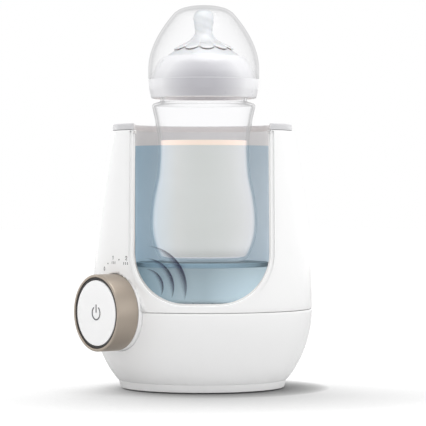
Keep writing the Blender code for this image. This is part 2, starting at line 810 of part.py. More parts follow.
def make_screw_ring(bottle_axis):
    """The white ring that clamps the teat on the neck."""
    ledge = RING_LEDGE_Z
    shoulder = bezier(
        (29.5 * MM, 207.0 * MM),
        (31.4 * MM, 204.0 * MM),
        (33.0 * MM, 200.5 * MM),
        (33.8 * MM, ledge),
        3,
    )
    profile = [
        (24.2 * MM, RING_TOP_Z),
        (25.8 * MM, RING_TOP_Z - 0.1 * MM),
        *shoulder,
        (35.0 * MM, ledge),
        (35.4 * MM, ledge - 0.4 * MM),
        (34.9 * MM, 190.0 * MM),
        (34.1 * MM, 186.0 * MM),
        (32.9 * MM, RING_BOTTOM_Z),
        (RING_BORE_R, RING_BOTTOM_Z + 0.2 * MM),
        (RING_BORE_R, 198.2 * MM),
        (31.3 * MM, 200.2 * MM),
        (27.4 * MM, 206.8 * MM),
        (24.2 * MM, 209.4 * MM),
    ]
    ring = turned("screw_ring", profile, BOTTLE_STEPS, white_plastic(), bottle_axis)
    ridge = thread("ring_thread", RING_BORE_R, 190.6 * MM, 0.5, bottle_axis)
    boolean(ring, ridge, "UNION")


def make_teat(bottle_axis):
    """The silicone teat, clamped by its flange on the neck."""
    flange_low = NECK_TOP_Z + GAP
    nipple = in_mm([
        (23.4, 211.6), (18.9, 214.7), (15.1, 217.3), (10.3, 220.5), (7.4, 223.2), (5.6, 227.0), (6.6, 236.0),
    ])
    profile = [
        (0.0, 241.3 * MM),
        (3.2 * MM, 240.8 * MM),
        (5.6 * MM, 239.0 * MM),
        *reversed(nipple),
        (23.4 * MM, 209.2 * MM),
        (26.5 * MM, 206.6 * MM),
        (30.2 * MM, 200.4 * MM),
        (30.7 * MM, flange_low),
    ]
    turned("teat", profile, TEAT_STEPS, silicone(), bottle_axis, closed=False, wall=1.2 * MM)


def make_dome_cap(bottle_axis):
    """The clear cap over the teat."""
    side_r = 35.5 * MM
    side = bezier(
        (18.8 * MM, 239.2 * MM),
        (27.0 * MM, 229.8 * MM),
        (side_r, 217.0 * MM),
        (side_r, 203.0 * MM),
        5,
    )
    profile = [
        (0.0, 243.8 * MM),
        (9.0 * MM, 243.4 * MM),
        (14.6 * MM, 241.7 * MM),
        *side,
        (side_r, RING_LEDGE_Z + GAP),
    ]
    turned(
        "dome_cap", profile, BOTTLE_STEPS, clear_plastic(), bottle_axis, closed=False, wall=DOME_WALL
    )


def make_mains_cable():
    """The strain relief, a folded cable behind the base, and a two-pin plug."""
    bore = CORD_R + GAP
    grip = [(3.6 * MM, 22 * MM)]
    for index in range(3):
        high = (18.5 - 4 * index) * MM
        grip += [(4.0 * MM, high), (3.5 * MM, high - 1 * MM), (4.2 * MM, high - 2.5 * MM)]
    grip += [(4.9 * MM, 4.0 * MM), (4.9 * MM, -5.0 * MM), (bore, -5.0 * MM), (bore, 22 * MM)]
    sleeve = turned("cord_grip", grip, 16, grey_plastic())
    sleeve.location = (0.0, 56 * MM, CORD_EXIT_Z)
    sleeve.rotation_euler = (math.radians(-90), 0.0, 0.0)

    left, right = -28 * MM, 32 * MM
    near_y, run_y = 88 * MM, 102 * MM
    path = [(0.0, 50 * MM, CORD_EXIT_Z)]
    path += bezier(
        (0.0, 79 * MM, CORD_EXIT_Z),
        (0.0, 90 * MM, CORD_EXIT_Z),
        (-6 * MM, near_y, CORD_FLOOR_Z),
        (left, near_y, CORD_FLOOR_Z),
        8,
    )
    turn_r = (run_y - near_y) / 2
    path += [(x, y, CORD_FLOOR_Z) for x, y in arc((left, near_y + turn_r), turn_r, 270, 90, 6)[1:]]
    turn_r = (PLUG_Y - run_y) / 2
    path += [(x, y, CORD_FLOOR_Z) for x, y in arc((right, run_y + turn_r), turn_r, -90, 70, 6)]
    path += [(PLUG_REAR_X + 6 * MM, PLUG_Y, PLUG_Z), (PLUG_REAR_X + GAP, PLUG_Y, PLUG_Z)]
    wire("power_cord", path, CORD_R, cable_plastic())

    body_length = 30 * MM
    size = (body_length, 25 * MM, 13 * MM)
    place = (PLUG_REAR_X - body_length / 2, PLUG_Y, PLUG_Z)
    box("plug_body", size, place, cable_plastic(), bevel=2.5 * MM)
    for index, side in enumerate((-1, 1), 1):
        place = (PLUG_REAR_X - body_length - 9.8 * MM, PLUG_Y + side * 9.3 * MM, PLUG_Z)
        cylinder(f"plug_pin_{index}", 2.0 * MM, 19 * MM, place, (0, math.radians(90), 0), pin_brass(), 12)


def main():
    dial_axis = axis_empty("dial_axis", (0.0, 0.0, DIAL_Z), (math.radians(90), 0.0, DIAL_YAW))
    bottle_axis = axis_empty("bottle_axis", (BOTTLE_X, 0.0, 0.0))
    bpy.context.view_layer.update()
    dial_hole = make_dial_hole(dial_axis)
    screw_holes = screw_hole_cutters()
    opening = make_upper_housing(dial_hole)
    make_top_rim(opening)
    make_lower_housing(dial_hole, screw_holes)
    make_base_plate(screw_holes)
    make_feet_and_screws()
    make_well(opening)
    make_heater()
    make_electronics()
    make_dial_fixed(dial_axis)
    make_dial(dial_axis)
    make_start_button(dial_axis)
    make_bottle(bottle_axis)
    make_screw_ring(bottle_axis)
    make_teat(bottle_axis)
    make_dome_cap(bottle_axis)
    make_mains_cable()
    for obj in PARTS.objects:
        if obj.type == "MESH" and "turn" in obj.modifiers:
            shade(obj)


main()
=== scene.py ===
"""The looks of the bottle warmer: fine meshes, materials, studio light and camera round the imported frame.

Metres, +Z up. The window faces -Y. An angle about an upright axis is measured from -Y towards +X.
A profile is a list of (radius, height) points. Where a corner has a third value, it is a fillet in mm.
"""

import json
import math

import bmesh
import bpy
import numpy as np
from mathutils import Matrix, Vector


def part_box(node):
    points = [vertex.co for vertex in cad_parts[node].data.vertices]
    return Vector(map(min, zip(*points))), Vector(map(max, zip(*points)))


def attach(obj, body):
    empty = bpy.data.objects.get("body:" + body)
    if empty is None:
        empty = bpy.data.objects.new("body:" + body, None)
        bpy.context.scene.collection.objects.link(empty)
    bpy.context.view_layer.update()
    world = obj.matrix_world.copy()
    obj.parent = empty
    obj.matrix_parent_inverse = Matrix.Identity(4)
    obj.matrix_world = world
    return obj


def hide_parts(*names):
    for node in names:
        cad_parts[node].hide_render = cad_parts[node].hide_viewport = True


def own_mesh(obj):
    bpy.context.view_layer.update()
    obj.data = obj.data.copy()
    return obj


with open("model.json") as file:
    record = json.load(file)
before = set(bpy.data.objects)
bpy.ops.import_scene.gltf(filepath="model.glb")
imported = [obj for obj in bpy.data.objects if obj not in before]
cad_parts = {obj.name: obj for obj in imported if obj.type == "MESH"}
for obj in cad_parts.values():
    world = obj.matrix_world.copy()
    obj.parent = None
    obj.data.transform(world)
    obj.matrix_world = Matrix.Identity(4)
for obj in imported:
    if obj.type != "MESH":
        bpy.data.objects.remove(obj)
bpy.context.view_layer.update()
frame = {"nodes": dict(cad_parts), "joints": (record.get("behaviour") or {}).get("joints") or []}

MM = 0.001
NODES = frame["nodes"]
JOINTS = {joint["name"]: joint for joint in frame["joints"]}
BODY_AXIS = Matrix.Identity(4)

BODY_STEPS = 192
BOTTLE_STEPS = 160
DIAL_STEPS = 144
TEAT_STEPS = 260
SHARP_DEGREES = 38
SAME_PLACE = 0.002 * MM

WALL = 2.4 * MM
EDGE_R = 0.5 * MM
WINDOW_HALF_WIDTH = 42.7 * MM
WINDOW_BOTTOM_Z = 55.0 * MM
WINDOW_CORNER_R = 32.0 * MM
BAND_END = math.radians(95)
WELL_SPAN = (-42 * MM, 42 * MM)
WELL_Z = (57 * MM, 150 * MM)
SIDE_MARGIN = 2.0 * MM
DIAL_HOLE = (58 * MM, 95 * MM)
CORD_HOLE_R = 5.3 * MM
CORD_HOLE_Y = 60 * MM
WATER_IN_R = 35.6 * MM
BOTTLE_WALL = 1.4 * MM
PRINT_HEIGHT = 0.03 * MM

CAMERA_DISTANCE = 1.536
CAMERA_HEIGHT = 0.1258
CAMERA_SIDE = 0.015
CAMERA_LENS = 202.8
CAMERA_SHIFT = (-0.0303, -0.054)

WHITE = (1.0, 1.0, 1.0, 1.0)
WORLD_LEFT_RIGHT = (1.08, 1.14)
WORLD_FRONT_BACK = (0.87, 1.15)
WORLD_LOW_HIGH = (1.35, 0.35)
KEY_DIRECTION = (-0.12, 0.12, -0.95)
KEY_STRENGTH = 1.5
KEY_SOFTNESS = math.radians(40)


# Places and sizes from the frame


def joint_axis(joint):
    """A matrix whose local Z runs along a joint's axis and whose local Y points up."""
    along = Vector(joint["axis"]).normalized()
    side = Vector((0, 0, 1)).cross(along).normalized()
    turn = Matrix((side, along.cross(side), along)).transposed().to_4x4()
    return Matrix.Translation(Vector(joint["pos_m"])) @ turn


def size_about(node, axis=BODY_AXIS):
    """Largest radius, lowest and highest place of a CAD node about the local Z of an axis."""
    back = axis.inverted()
    places = [back @ vertex.co for vertex in NODES[node].data.vertices]
    heights = [place.z for place in places]
    return max(place.xy.length for place in places), min(heights), max(heights)


BOTTLE_AXIS = Matrix.Translation((JOINTS["ring_turn"]["pos_m"][0], 0, 0))
DIAL_AXIS = joint_axis(JOINTS["dial_turn"])

SEAM_R, UPPER_LOW_Z, DECK_Z = size_about("upper_housing")
RIM_R, RIM_LOW_Z, RIM_TOP_Z = size_about("top_rim")
WELL_OUT_R, LINER_LOW_Z, _ = size_about("well_liner")
PANE_OUT_R, _, PANE_TOP_Z = size_about("window_pane")
TABLE_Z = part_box("rubber_foot_1")[0].z
FOOT_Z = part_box("lower_housing")[0].z
GAP = RIM_LOW_Z - DECK_Z
LOWER_TOP_Z = UPPER_LOW_Z - GAP
DECK_R = RIM_R + 0.1 * MM
WELL_R = WELL_OUT_R - 1.8 * MM
DIAL_HOLE_R = size_about("dial_base", DIAL_AXIS)[0] + GAP


# Lines and profiles


def in_mm(points):
    """Millimetre values as metres."""
    return [tuple(value * MM for value in point) for point in points]


def at_angle(radius, angle, height):
    """The point at a radius, angle and height about Z."""
    return (radius * math.sin(angle), -radius * math.cos(angle), height)


def arc_row(radius, height, start, end, steps):
    """Points round Z from one angle to another, both included."""
    return [at_angle(radius, start + (end - start) * step / steps, height) for step in range(steps + 1)]


def ring_row(radius, height, steps, ripple=None):
    """One ring of points about Z, or a single point on it; ripple adds to the radius by angle."""
    if radius < 1e-7:
        return [(0.0, 0.0, height)]
    angles = [2 * math.pi * step / steps for step in range(steps)]
    return [at_angle(radius + (ripple(angle) if ripple else 0.0), angle, height) for angle in angles]


def helix(radius, start, rise, turns, steps):
    """Points of a screw line about Z."""
    made = []
    for step in range(steps + 1):
        angle = 2 * math.pi * turns * step / steps
        made.append((radius * math.cos(angle), radius * math.sin(angle), start + rise * step / steps))
    return made


def bezier(start, handle_1, handle_2, end, count):
    """Points along a cubic curve, both ends included."""
    points = []
    for index in range(count + 1):
        t = index / count
        weights = ((1 - t) ** 3, 3 * t * (1 - t) ** 2, 3 * t * t * (1 - t), t**3)
        corners = (start, handle_1, handle_2, end)
        points.append(tuple(sum(w * c[i] for w, c in zip(weights, corners)) for i in (0, 1)))
    return points


def through(points, per_span=8):
    """A smooth line through points."""
    ends = [points[0], *points, points[-1]]
    made = []
    for before, start, end, after in zip(ends, ends[1:], ends[2:], ends[3:]):
        for index in range(per_span):
            t = index / per_span
            place = []
            for a, b, c, d in zip(before, start, end, after):
                bend = (2 * a - 5 * b + 4 * c - d) * t + (3 * (b - c) + d - a) * t * t
                place.append(b + 0.5 * t * ((c - a) + bend))
            made.append(tuple(place))
    return [*made, tuple(points[-1])]


def rounded(corners, closed=True, count=5):
    """A profile from (radius, height, fillet in mm) corners, each rounded by its fillet."""
    points = []
    for index, corner in enumerate(corners):
        here = Vector(corner[:2])
        at_end = not closed and index in (0, len(corners) - 1)
        if len(corner) == 2 or at_end:
            points.append(tuple(here))
            continue
        fillet = corner[2] * MM
        to_last = (Vector(corners[index - 1][:2]) - here).normalized()
        to_next = (Vector(corners[(index + 1) % len(corners)][:2]) - here).normalized()
        half = to_last.angle(to_next) / 2
        center = here + (to_last + to_next).normalized() * fillet / math.sin(half)
        start = here + to_last * fillet / math.tan(half) - center
        end = here + to_next * fillet / math.tan(half) - center
        sweep = start.angle_signed(end)
        for step in range(count + 1):
            points.append(tuple(center + Matrix.Rotation(-sweep * step / count, 2) @ start))
    return points


def square_profile(in_r, out_r, low, high, top_fillet, low_fillet):
    """A ring's four-cornered section, from its top inner corner outwards."""
    top = [(in_r, high, top_fillet), (out_r, high, top_fillet)]
    return rounded([*top, (out_r, low, low_fillet), (in_r, low, low_fillet)])


def with_neighbours(line):
    """Each point of a line between the points before and after it."""
    return zip([line[0], *line], line, [*line[1:], line[-1]])


def inner_line(line, wall):
    """A line moved inwards by a wall, along its own normals."""
    made = []
    for before, place, after in with_neighbours(line):
        along = (Vector(after) - Vector(before)).normalized()
        made.append((place[0] + along.y * wall, place[1] - along.x * wall))
    return made


# Meshes


def stitch(shape, rows, around=False, closed=False):
    """Faces between rows of points. A row of one point is a pole; around joins a row's ends."""
    width = max(len(row) for row in rows)
    rings = []
    for row in rows:
        verts = [shape.verts.new(place) for place in row]
        rings.append(verts * width if len(verts) == 1 else verts)
    pairs = list(zip(rings, rings[1:]))
    if closed:
        pairs.append((rings[-1], rings[0]))
    for upper, lower in pairs:
        for column in range(width if around else width - 1):
            follow = (column + 1) % width
            corners = dict.fromkeys((upper[column], lower[column], lower[follow], upper[follow]))
            if len(corners) > 2:
                shape.faces.new(list(corners))
    return rings


def stitch_marked(shape, rows, name, values, around=False):
    """Stitch rows and store a named value on each point, for a finish to read."""
    layers = shape.verts.layers.float
    layer = layers.get(name) or layers.new(name)
    for ring, row in zip(stitch(shape, rows, around), values):
        for vertex, value in zip(ring, row):
            vertex[layer] = value


def capped_band(rows):
    """A closed band through rows of points, with flat ends."""
    shape = bmesh.new()
    rings = stitch(shape, rows, closed=True)
    shape.faces.new([ring[0] for ring in rings])
    shape.faces.new([ring[-1] for ring in reversed(rings)])
    return shape


def finished(name, shape, axis=BODY_AXIS, sharp=SHARP_DEGREES, outward=False):
    """A named object from a bmesh, smooth but for its sharp edges; outward turns its faces out first."""
    if outward:
        bmesh.ops.recalc_face_normals(shape, faces=shape.faces)
    bmesh.ops.remove_doubles(shape, verts=shape.verts, dist=SAME_PLACE)
    mesh = bpy.data.meshes.new(name)
    shape.to_mesh(mesh)
    shape.free()
    mesh.shade_smooth()
    mesh.set_sharp_from_angle(angle=math.radians(sharp))
    obj = bpy.data.objects.new(name, mesh)
    bpy.context.scene.collection.objects.link(obj)
    obj.matrix_world = axis
    return obj


def turned(name, profile, steps, axis=BODY_AXIS, closed=False):
    """Turn a profile that runs down its outside about local Z."""
    shape = bmesh.new()
    stitch(shape, [ring_row(*point, steps) for point in profile], around=True, closed=closed)
    return finished(name, shape, axis)


def part_turned(name, profile, steps, start_at):
    """Turn a closed profile about Z over the back of the body; start_at gives the first angle by radius."""
    rows = []
    for radius, height in profile:
        start = start_at(radius)
        rows.append(arc_row(radius, height, start, 2 * math.pi - start, steps))
    return finished(name, capped_band(rows))


def tube_along(name, path, radius, steps=12, axis=BODY_AXIS):
    """A round tube along a smooth path, with closed ends."""
    places = [Vector(place) for place in path]
    angles = [2 * math.pi * step / steps for step in range(steps)]
    across = (places[1] - places[0]).orthogonal().normalized()
    rows = [[path[0]]]
    for before, place, after in with_neighbours(places):
        tangent = (after - before).normalized()
        across = (across - tangent * across.dot(tangent)).normalized()
        up = tangent.cross(across)
        rows.append([tuple(place + radius * (across * math.cos(a) + up * math.sin(a))) for a in angles])
    rows.append([path[-1]])
    shape = bmesh.new()
    stitch(shape, rows, around=True)
    return finished(name, shape, axis, outward=True)


def thicken(obj, thickness):
    """Give a surface a wall behind it."""
    wall = obj.modifiers.new("wall", "SOLIDIFY")
    wall.thickness = thickness
    wall.offset = -1.0
    wall.use_even_offset = True
    return obj


def soften(obj, width, segments=2, angle=35):
    """Round the sharp edges of a piece."""
    rounding = obj.modifiers.new("rounding", "BEVEL")
    rounding.width = width
    rounding.segments = segments
    rounding.limit_method = "ANGLE"
    rounding.angle_limit = math.radians(angle)
    rounding.harden_normals = False


def cutter(radius, low, high, steps, axis):
    """A plain cylinder along an axis, to cut with."""
    return turned("cutter", [(0, high), (radius, high), (radius, low), (0, low)], steps, axis)


def cut(obj, *tools):
    """Cut tools out of a piece with exact Booleans and remove the tools."""
    for tool in tools:
        step = obj.modifiers.new("cut", "BOOLEAN")
        step.operation = "DIFFERENCE"
        step.object = tool
        step.solver = "EXACT"
    bpy.context.view_layer.update()
    graph = bpy.context.evaluated_depsgraph_get()
    mesh = bpy.data.meshes.new_from_object(obj.evaluated_get(graph))
    obj.modifiers.clear()
    obj.data = mesh
    for tool in tools:
        bpy.data.objects.remove(tool, do_unlink=True)
    mesh.set_sharp_from_angle(angle=math.radians(SHARP_DEGREES))


# Materials


LOOKS = {}


class Graph:
    """A material's or world's node tree, with short calls that add nodes."""

    def __init__(self, name, kind="materials"):
        self.name = name
        self.owner = getattr(bpy.data, kind).new(name)
        self.owner.use_nodes = True
        self.tree = self.owner.node_tree
        self.tree.nodes.clear()

    def node(self, kind, inputs, socket=0, **settings):
        """Add a node, fill or link its inputs and return one of its outputs."""
        made = self.tree.nodes.new("ShaderNode" + kind)
        for key, value in settings.items():
            setattr(made, key, value)
        for key, value in inputs.items():
            if isinstance(value, bpy.types.NodeSocket):
                self.tree.links.new(value, made.inputs[key])
            else:
                made.inputs[key].default_value = value
        return made.outputs[socket] if made.outputs else None

    def part(self, index, source="Object"):
        """One coordinate of the place."""
        return self.node("SeparateXYZ", {0: self.node("TexCoord", {}, source)}, index)

    def place(self):
        return self.node("TexCoord", {}, "Object")

    def facing(self):
        """How far a surface turns away from the eye."""
        return self.node("LayerWeight", {"Blend": 0.5}, "Facing")

    def for_camera(self):
        return self.node("LightPath", {}, "Is Camera Ray")

    def marked(self, name):
        """A value that was stored on the mesh's points."""
        return self.node("Attribute", {}, "Fac", attribute_name=name)

    def noise(self, scale, detail=3.0):
        """A noise value in object space."""
        return self.node("TexNoise", {"Vector": self.place(), "Scale": scale, "Detail": detail})

    def between(self, value, low, high, from_low=0.0, from_high=1.0):
        """A value mapped from one range to another and held inside it."""
        inputs = {"Value": value, "From Min": from_low, "From Max": from_high, "To Min": low, "To Max": high}
        return self.node("MapRange", inputs)

    def uneven(self, low, high, scale, detail=3.0):
        """A value that drifts between low and high with a noise."""
        return self.between(self.noise(scale, detail), low, high, 0.3, 0.7)

    def math(self, operation, first, second):
        return self.node("Math", {0: first, 1: second}, operation=operation)

    def times(self, first, second):
        return self.math("MULTIPLY", first, second)

    def shelter(self, leaning, reach):
        """How open a place is to the light, from 0 to 1, looking along leaning as far as reach."""
        normal = self.node("CombineXYZ", dict(enumerate(leaning)))
        return self.node("AmbientOcclusion", {"Distance": reach, "Normal": normal}, "AO", samples=16)

    def mix_color(self, share, first, second):
        return self.node("Mix", {0: share, 6: first, 7: second}, 2, data_type="RGBA")

    def mix_shader(self, share, first, second):
        return self.node("MixShader", {0: share, 1: first, 2: second})

    def bump(self, height, depth):
        """A normal bent by a height; depth is in mm."""
        return self.node("Bump", {"Height": height, "Distance": depth * MM})

    def worn_edges(self, amount):
        """How far a point is on an outer edge, broken up by noise."""
        pointed = self.node("NewGeometry", {}, "Pointiness")
        return self.times(self.between(pointed, 0.0, amount, 0.52, 0.60), self.noise(160.0))

    def finish(self, shader, output="OutputMaterial"):
        """Link the output and keep the finish under its name."""
        self.node(output, {"Surface": shader})
        LOOKS[self.name] = self.owner

    def principled(self, inputs):
        self.finish(self.node("BsdfPrincipled", inputs))


def shade_of(color, factor):
    """A colour made lighter or darker, with its alpha."""
    return (*[min(1.0, channel * factor) for channel in color], 1.0)


def surface(name, color, roughness, metallic=0.0, depth=0.02, drift=0.03, wear=0.3, rim=1.0, streak=0.28):
    """A solid finish with grain, drifting colour and gloss, worn edges, and painted shade that darkens it
    towards its outline.
    """
    graph = Graph(name)
    tone = graph.mix_color(graph.noise(28.0, 4.0), shade_of(color, 1 - drift), shade_of(color, 1 + drift))
    tone = graph.mix_color(graph.worn_edges(wear), tone, shade_of(color, 1.25))
    # Painted shade: the colour darkens by rim towards the outline, where the surface turns from the eye.
    tone = graph.mix_color(graph.math("POWER", graph.facing(), 3.0), tone, shade_of(color, rim))
    graph.principled({
        "Base Color": tone,
        "Roughness": graph.uneven(roughness * (1 - streak), roughness * (1 + streak), 90.0, 6.0),
        "Metallic": metallic,
        "Normal": graph.bump(graph.noise(1200.0), depth),
    })


def lit_within(name, tones, rough, glow, low_gain, share=0.35, rim_gain=0.0, span=WELL_SPAN, heights=WELL_Z):
    """A finish with painted light for what stands in the bright well: part of its brightness is a glow,
    painted in place of the light there.

    tones are for where it faces the eye and where it turns away, a painted shade. glow is the strength of
    the painted light at the left and right end of span. rim_gain adds painted light at the rims, and
    low_gain at the lower of the two heights.
    """
    graph = Graph(name)
    facing = graph.facing()
    tone = graph.mix_color(facing, *[(*color, 1.0) for color in tones])
    # Painted light: the glow runs from the left to the right end of span, grows at the rims and changes
    # towards the lower height.
    level = graph.between(graph.part(0), *glow, *span)
    level = graph.times(level, graph.between(facing, 1.0, 1.0 + rim_gain, 0.0, 0.4))
    level = graph.times(level, graph.between(graph.part(2), 1.0 + low_gain, 1.0, *heights))
    graph.principled({
        "Base Color": graph.mix_color(share, (0.0, 0.0, 0.0, 1.0), tone),
        "Roughness": graph.uneven(rough * 0.8, rough * 1.2, 90.0, 6.0),
        "Normal": graph.bump(graph.noise(1200.0), 0.015),
        "Emission Color": tone,
        "Emission Strength": graph.times(level, graph.uneven(0.985, 1.015, 35.0, 4.0)),
    })


def see_through(name, tint, gloss, haze=0.0, edge=0.0, edge_power=3.0, edge_shade_tone=0.62, left_shaded_tint=None):
    """A clear finish: tinted, with painted shade in a darker left tint, a haze painted as white glow, a
    painted dark outline where seen edge-on, and a soft gloss.
    """
    graph = Graph(name)
    facing = graph.facing()
    # Painted shade: a dark grey glow at the outline, where the wall is seen edge-on.
    soft = graph.times(graph.math("POWER", facing, edge_power), edge)
    crisp = graph.between(facing, 0.0, edge, 0.66, 0.93)
    rim = graph.times(graph.math("ADD", soft, crisp), 0.5)
    cloud = graph.uneven(haze * 0.85, haze * 1.15, 45.0)
    # Painted shade: the tint darkens to the left tint towards the left end.
    rightward = graph.between(graph.part(0), 0.0, 1.0, -40 * MM, -15 * MM)
    seen_tint = graph.mix_color(rightward, (*(left_shaded_tint or tint), 1.0), (*tint, 1.0))
    passed = graph.mix_color(graph.for_camera(), WHITE, seen_tint)
    clear = graph.node("BsdfTransparent", {"Color": passed})
    # The haze is the plastic's faint cloudiness, painted as a white glow rather than lit.
    milky = graph.node("Emission", {"Color": (0.97, 0.97, 0.975, 1.0), "Strength": 1.0})
    dark = (edge_shade_tone, edge_shade_tone, edge_shade_tone * 1.01, 1.0)
    outline = graph.node("Emission", {"Color": dark, "Strength": 1.0})
    body = graph.mix_shader(rim, graph.mix_shader(cloud, clear, milky), outline)
    ripple = graph.bump(graph.noise(60.0), 0.05)
    rough = graph.uneven(0.04, 0.12, 120.0)
    shine = graph.node("BsdfGlossy", {"Roughness": rough, "Normal": ripple})
    fresnel = graph.node("Fresnel", {"IOR": 1.4, "Normal": ripple})
    share = graph.times(graph.math("MINIMUM", fresnel, 0.5), gloss / 0.05)
    first = graph.math("LESS_THAN", graph.node("LightPath", {}, "Transparent Depth"), 0.5)
    share = graph.times(share, graph.times(graph.for_camera(), first))
    graph.finish(graph.mix_shader(graph.math("MINIMUM", share, 0.35), body, shine))


def make_ring_plastic():
    """White plastic with painted shade: grey where it faces the eye and again at its outline, light between,
    as light from the sides and behind would fall.
    """
    graph = Graph("screw_ring_plastic")
    facing = graph.facing()
    # Painted shade: grey where the ring faces the eye, light where it turns aside.
    outer = graph.between(facing, 0.0, 1.0, 0.02, 0.36)
    tone = graph.mix_color(outer, (0.51, 0.505, 0.54, 1.0), (0.88, 0.88, 0.90, 1.0))
    # Painted shade at the outline, where the ring turns right away.
    tone = graph.mix_color(graph.between(facing, 0.0, 1.0, 0.60, 0.95), tone, (0.62, 0.62, 0.63, 1.0))
    graph.principled({
        "Base Color": tone,
        "Roughness": graph.uneven(0.26, 0.40, 90.0, 6.0),
        "Normal": graph.bump(graph.noise(900.0), 0.01),
    })


def make_teat_silicone():
    """Milky silicone with painted shade: darker grey where it turns away from the eye, and dark under the
    petals' lips.
    """
    graph = Graph("teat_silicone")
    cloud = graph.uneven(0.90, 0.95, 60.0, 4.0)
    milky = graph.node("CombineColor", {0: cloud, 1: cloud, 2: graph.math("ADD", cloud, 0.01)})
    # Painted shade: darker grey where the silicone turns away from the eye.
    tone = graph.mix_color(graph.math("POWER", graph.facing(), 2.2), milky, (0.34, 0.34, 0.36, 1.0))
    graph.principled({
        # Painted shade under the petals' lips, from values marked on the mesh.
        "Base Color": graph.mix_color(graph.marked("petal_shade"), tone, (0.10, 0.10, 0.105, 1.0)),
        "Roughness": graph.uneven(0.26, 0.42, 120.0, 5.0),
        "Subsurface Weight": 0.1,
        "Normal": graph.bump(graph.noise(700.0), 0.02),
    })


def make_champagne_metal():
    """Turned metal: fine rings about the dial's axis under a satin finish."""
    graph = Graph("champagne_metal")
    stretched = graph.node("Mapping", {"Vector": graph.place(), "Scale": (1.0, 1.0, 40.0)})
    rings = graph.node("TexNoise", {"Vector": stretched, "Scale": 160.0, "Detail": 4.0})
    color = (0.44, 0.38, 0.32)
    tone = graph.mix_color(rings, shade_of(color, 0.94), shade_of(color, 1.06))
    graph.principled({
        "Base Color": graph.mix_color(graph.worn_edges(0.5), tone, shade_of(color, 1.3)),
        "Metallic": 0.85,
        "Roughness": graph.between(rings, 0.34, 0.46, 0.3, 0.7),
        "Normal": graph.bump(rings, 0.02),
    })


def make_wave_ink():
    """Dark blue ink that fades from each arc's outer edge inwards."""
    graph = Graph("wave_ink")
    share = graph.times(graph.marked("ink"), graph.uneven(0.70, 0.78, 1500.0))
    ink = graph.node("BsdfDiffuse", {"Color": (0.024, 0.016, 0.055, 1.0)})
    clear = graph.node("BsdfTransparent", {})
    graph.finish(graph.mix_shader(share, clear, ink))


CALM = {"depth": 0.006, "drift": 0.004, "wear": 0.0, "streak": 0.05}
SOLIDS = {
    # The housing's white darkens towards its outline: painted shade.
    "white_gloss_plastic": ((0.92, 0.92, 0.92), 0.26, {**CALM, "rim": 0.88}),
    # Set whiter than the housing's plastic: painted light for the light the button face lacks.
    "button_plastic": ((0.99, 0.99, 0.99), 0.30, CALM),
    "light_grey_plastic": ((0.62, 0.62, 0.635), 0.42, {"depth": 0.03}),
    "pale_seal_silicone": ((0.66, 0.67, 0.68), 0.6, {"depth": 0.04}),
    # The plate seal's and heating plate's dark blue-grey is partly their own colour and partly painted shade
    # under the bottle.
    "grey_seal_silicone": ((0.34, 0.41, 0.45), 0.6, {"depth": 0.04}),
    "plate_metal": ((0.16, 0.22, 0.25), 0.45, {"metallic": 0.4}),
    "black_plastic": ((0.022, 0.018, 0.016), 0.4, {"depth": 0.03}),
    "grey_rubber": ((0.22, 0.225, 0.23), 0.8, {"depth": 0.06}),
    "steel": ((0.62, 0.62, 0.62), 0.3, {"metallic": 1.0}),
    "circuit_board": ((0.03, 0.19, 0.08), 0.45, {}),
    "component_plastic": ((0.05, 0.055, 0.07), 0.5, {"depth": 0.03}),
    "wire_sleeve": ((0.62, 0.62, 0.66), 0.5, {}),
    "cable_plastic": ((0.84, 0.84, 0.84), 0.45, {"depth": 0.03}),
    "pin_brass": ((0.70, 0.58, 0.30), 0.28, {"metallic": 1.0, "depth": 0.01}),
    "grey_print": ((0.10, 0.10, 0.105), 0.55, {"depth": 0.005, "drift": 0.05, "wear": 0.0}),
}


def make_looks():
    """Every finish of the object."""
    for name, (color, roughness, changes) in SOLIDS.items():
        surface(name, color, roughness, **changes)
    # Painted light: the liner's glow grows from left to right and towards its foot.
    greys = [(0.56, 0.56, 0.57)] * 2
    lit_within("well_liner_plastic", greys, 0.38, (0.50, 0.68), 0.28)
    # Painted light and shade: the shroud's glow grows steeply from left to right and towards its foot,
    # leaving its top darker under the bottle.
    pales = (0.56, 0.58, 0.575), (0.60, 0.61, 0.60)
    span, heights = in_mm([(2, 40), (56, 78)])
    lit_within("shroud_plastic", pales, 0.45, (0.36, 0.85), 0.8, span=span, heights=heights)
    # Painted light: the milk glows, lighter where it turns from the eye and at its rims, darker towards its
    # foot.
    creams = (0.95, 0.785, 0.665), (1.12, 0.91, 0.84)
    heights = (81 * MM, 90 * MM)
    lit_within("milk", creams, 0.35, (0.82, 0.84), -0.35, share=0.12, rim_gain=0.14, heights=heights)
    see_through("blue_pane", (0.82, 0.905, 0.96), gloss=0.02, left_shaded_tint=(0.735, 0.875, 0.965))
    see_through("water", (0.995, 0.998, 1.0), gloss=0.01)
    bottle, dome = (0.997, 0.997, 1.0), (0.996, 0.996, 0.998)
    see_through("bottle_clear", bottle, gloss=0.03, haze=0.035, edge=1.0, edge_power=5.0, edge_shade_tone=0.47)
    see_through("dome_clear", dome, gloss=0.012, edge=1.0, edge_power=2.6, edge_shade_tone=0.64)
    make_ring_plastic()
    make_teat_silicone()
    make_champagne_metal()
    make_wave_ink()


def wear_look(obj, look):
    """Give a piece one finish."""
    obj.data.materials.clear()
    obj.data.materials.append(LOOKS[look])


def piece(obj, look, body, slot, *nodes):
    """Give a fine piece its finish, its body and the CAD nodes it stands for."""
    wear_look(obj, look)
    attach(obj, body)
    if nodes:
        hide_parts(*nodes)


def lathe(name, profile, closed, look, body, slot, node, axis=BODY_AXIS, steps=BOTTLE_STEPS):
    """Turn a profile into the fine piece for a CAD node."""
    piece(turned(name, profile, steps, axis, closed), look, body, slot, node)


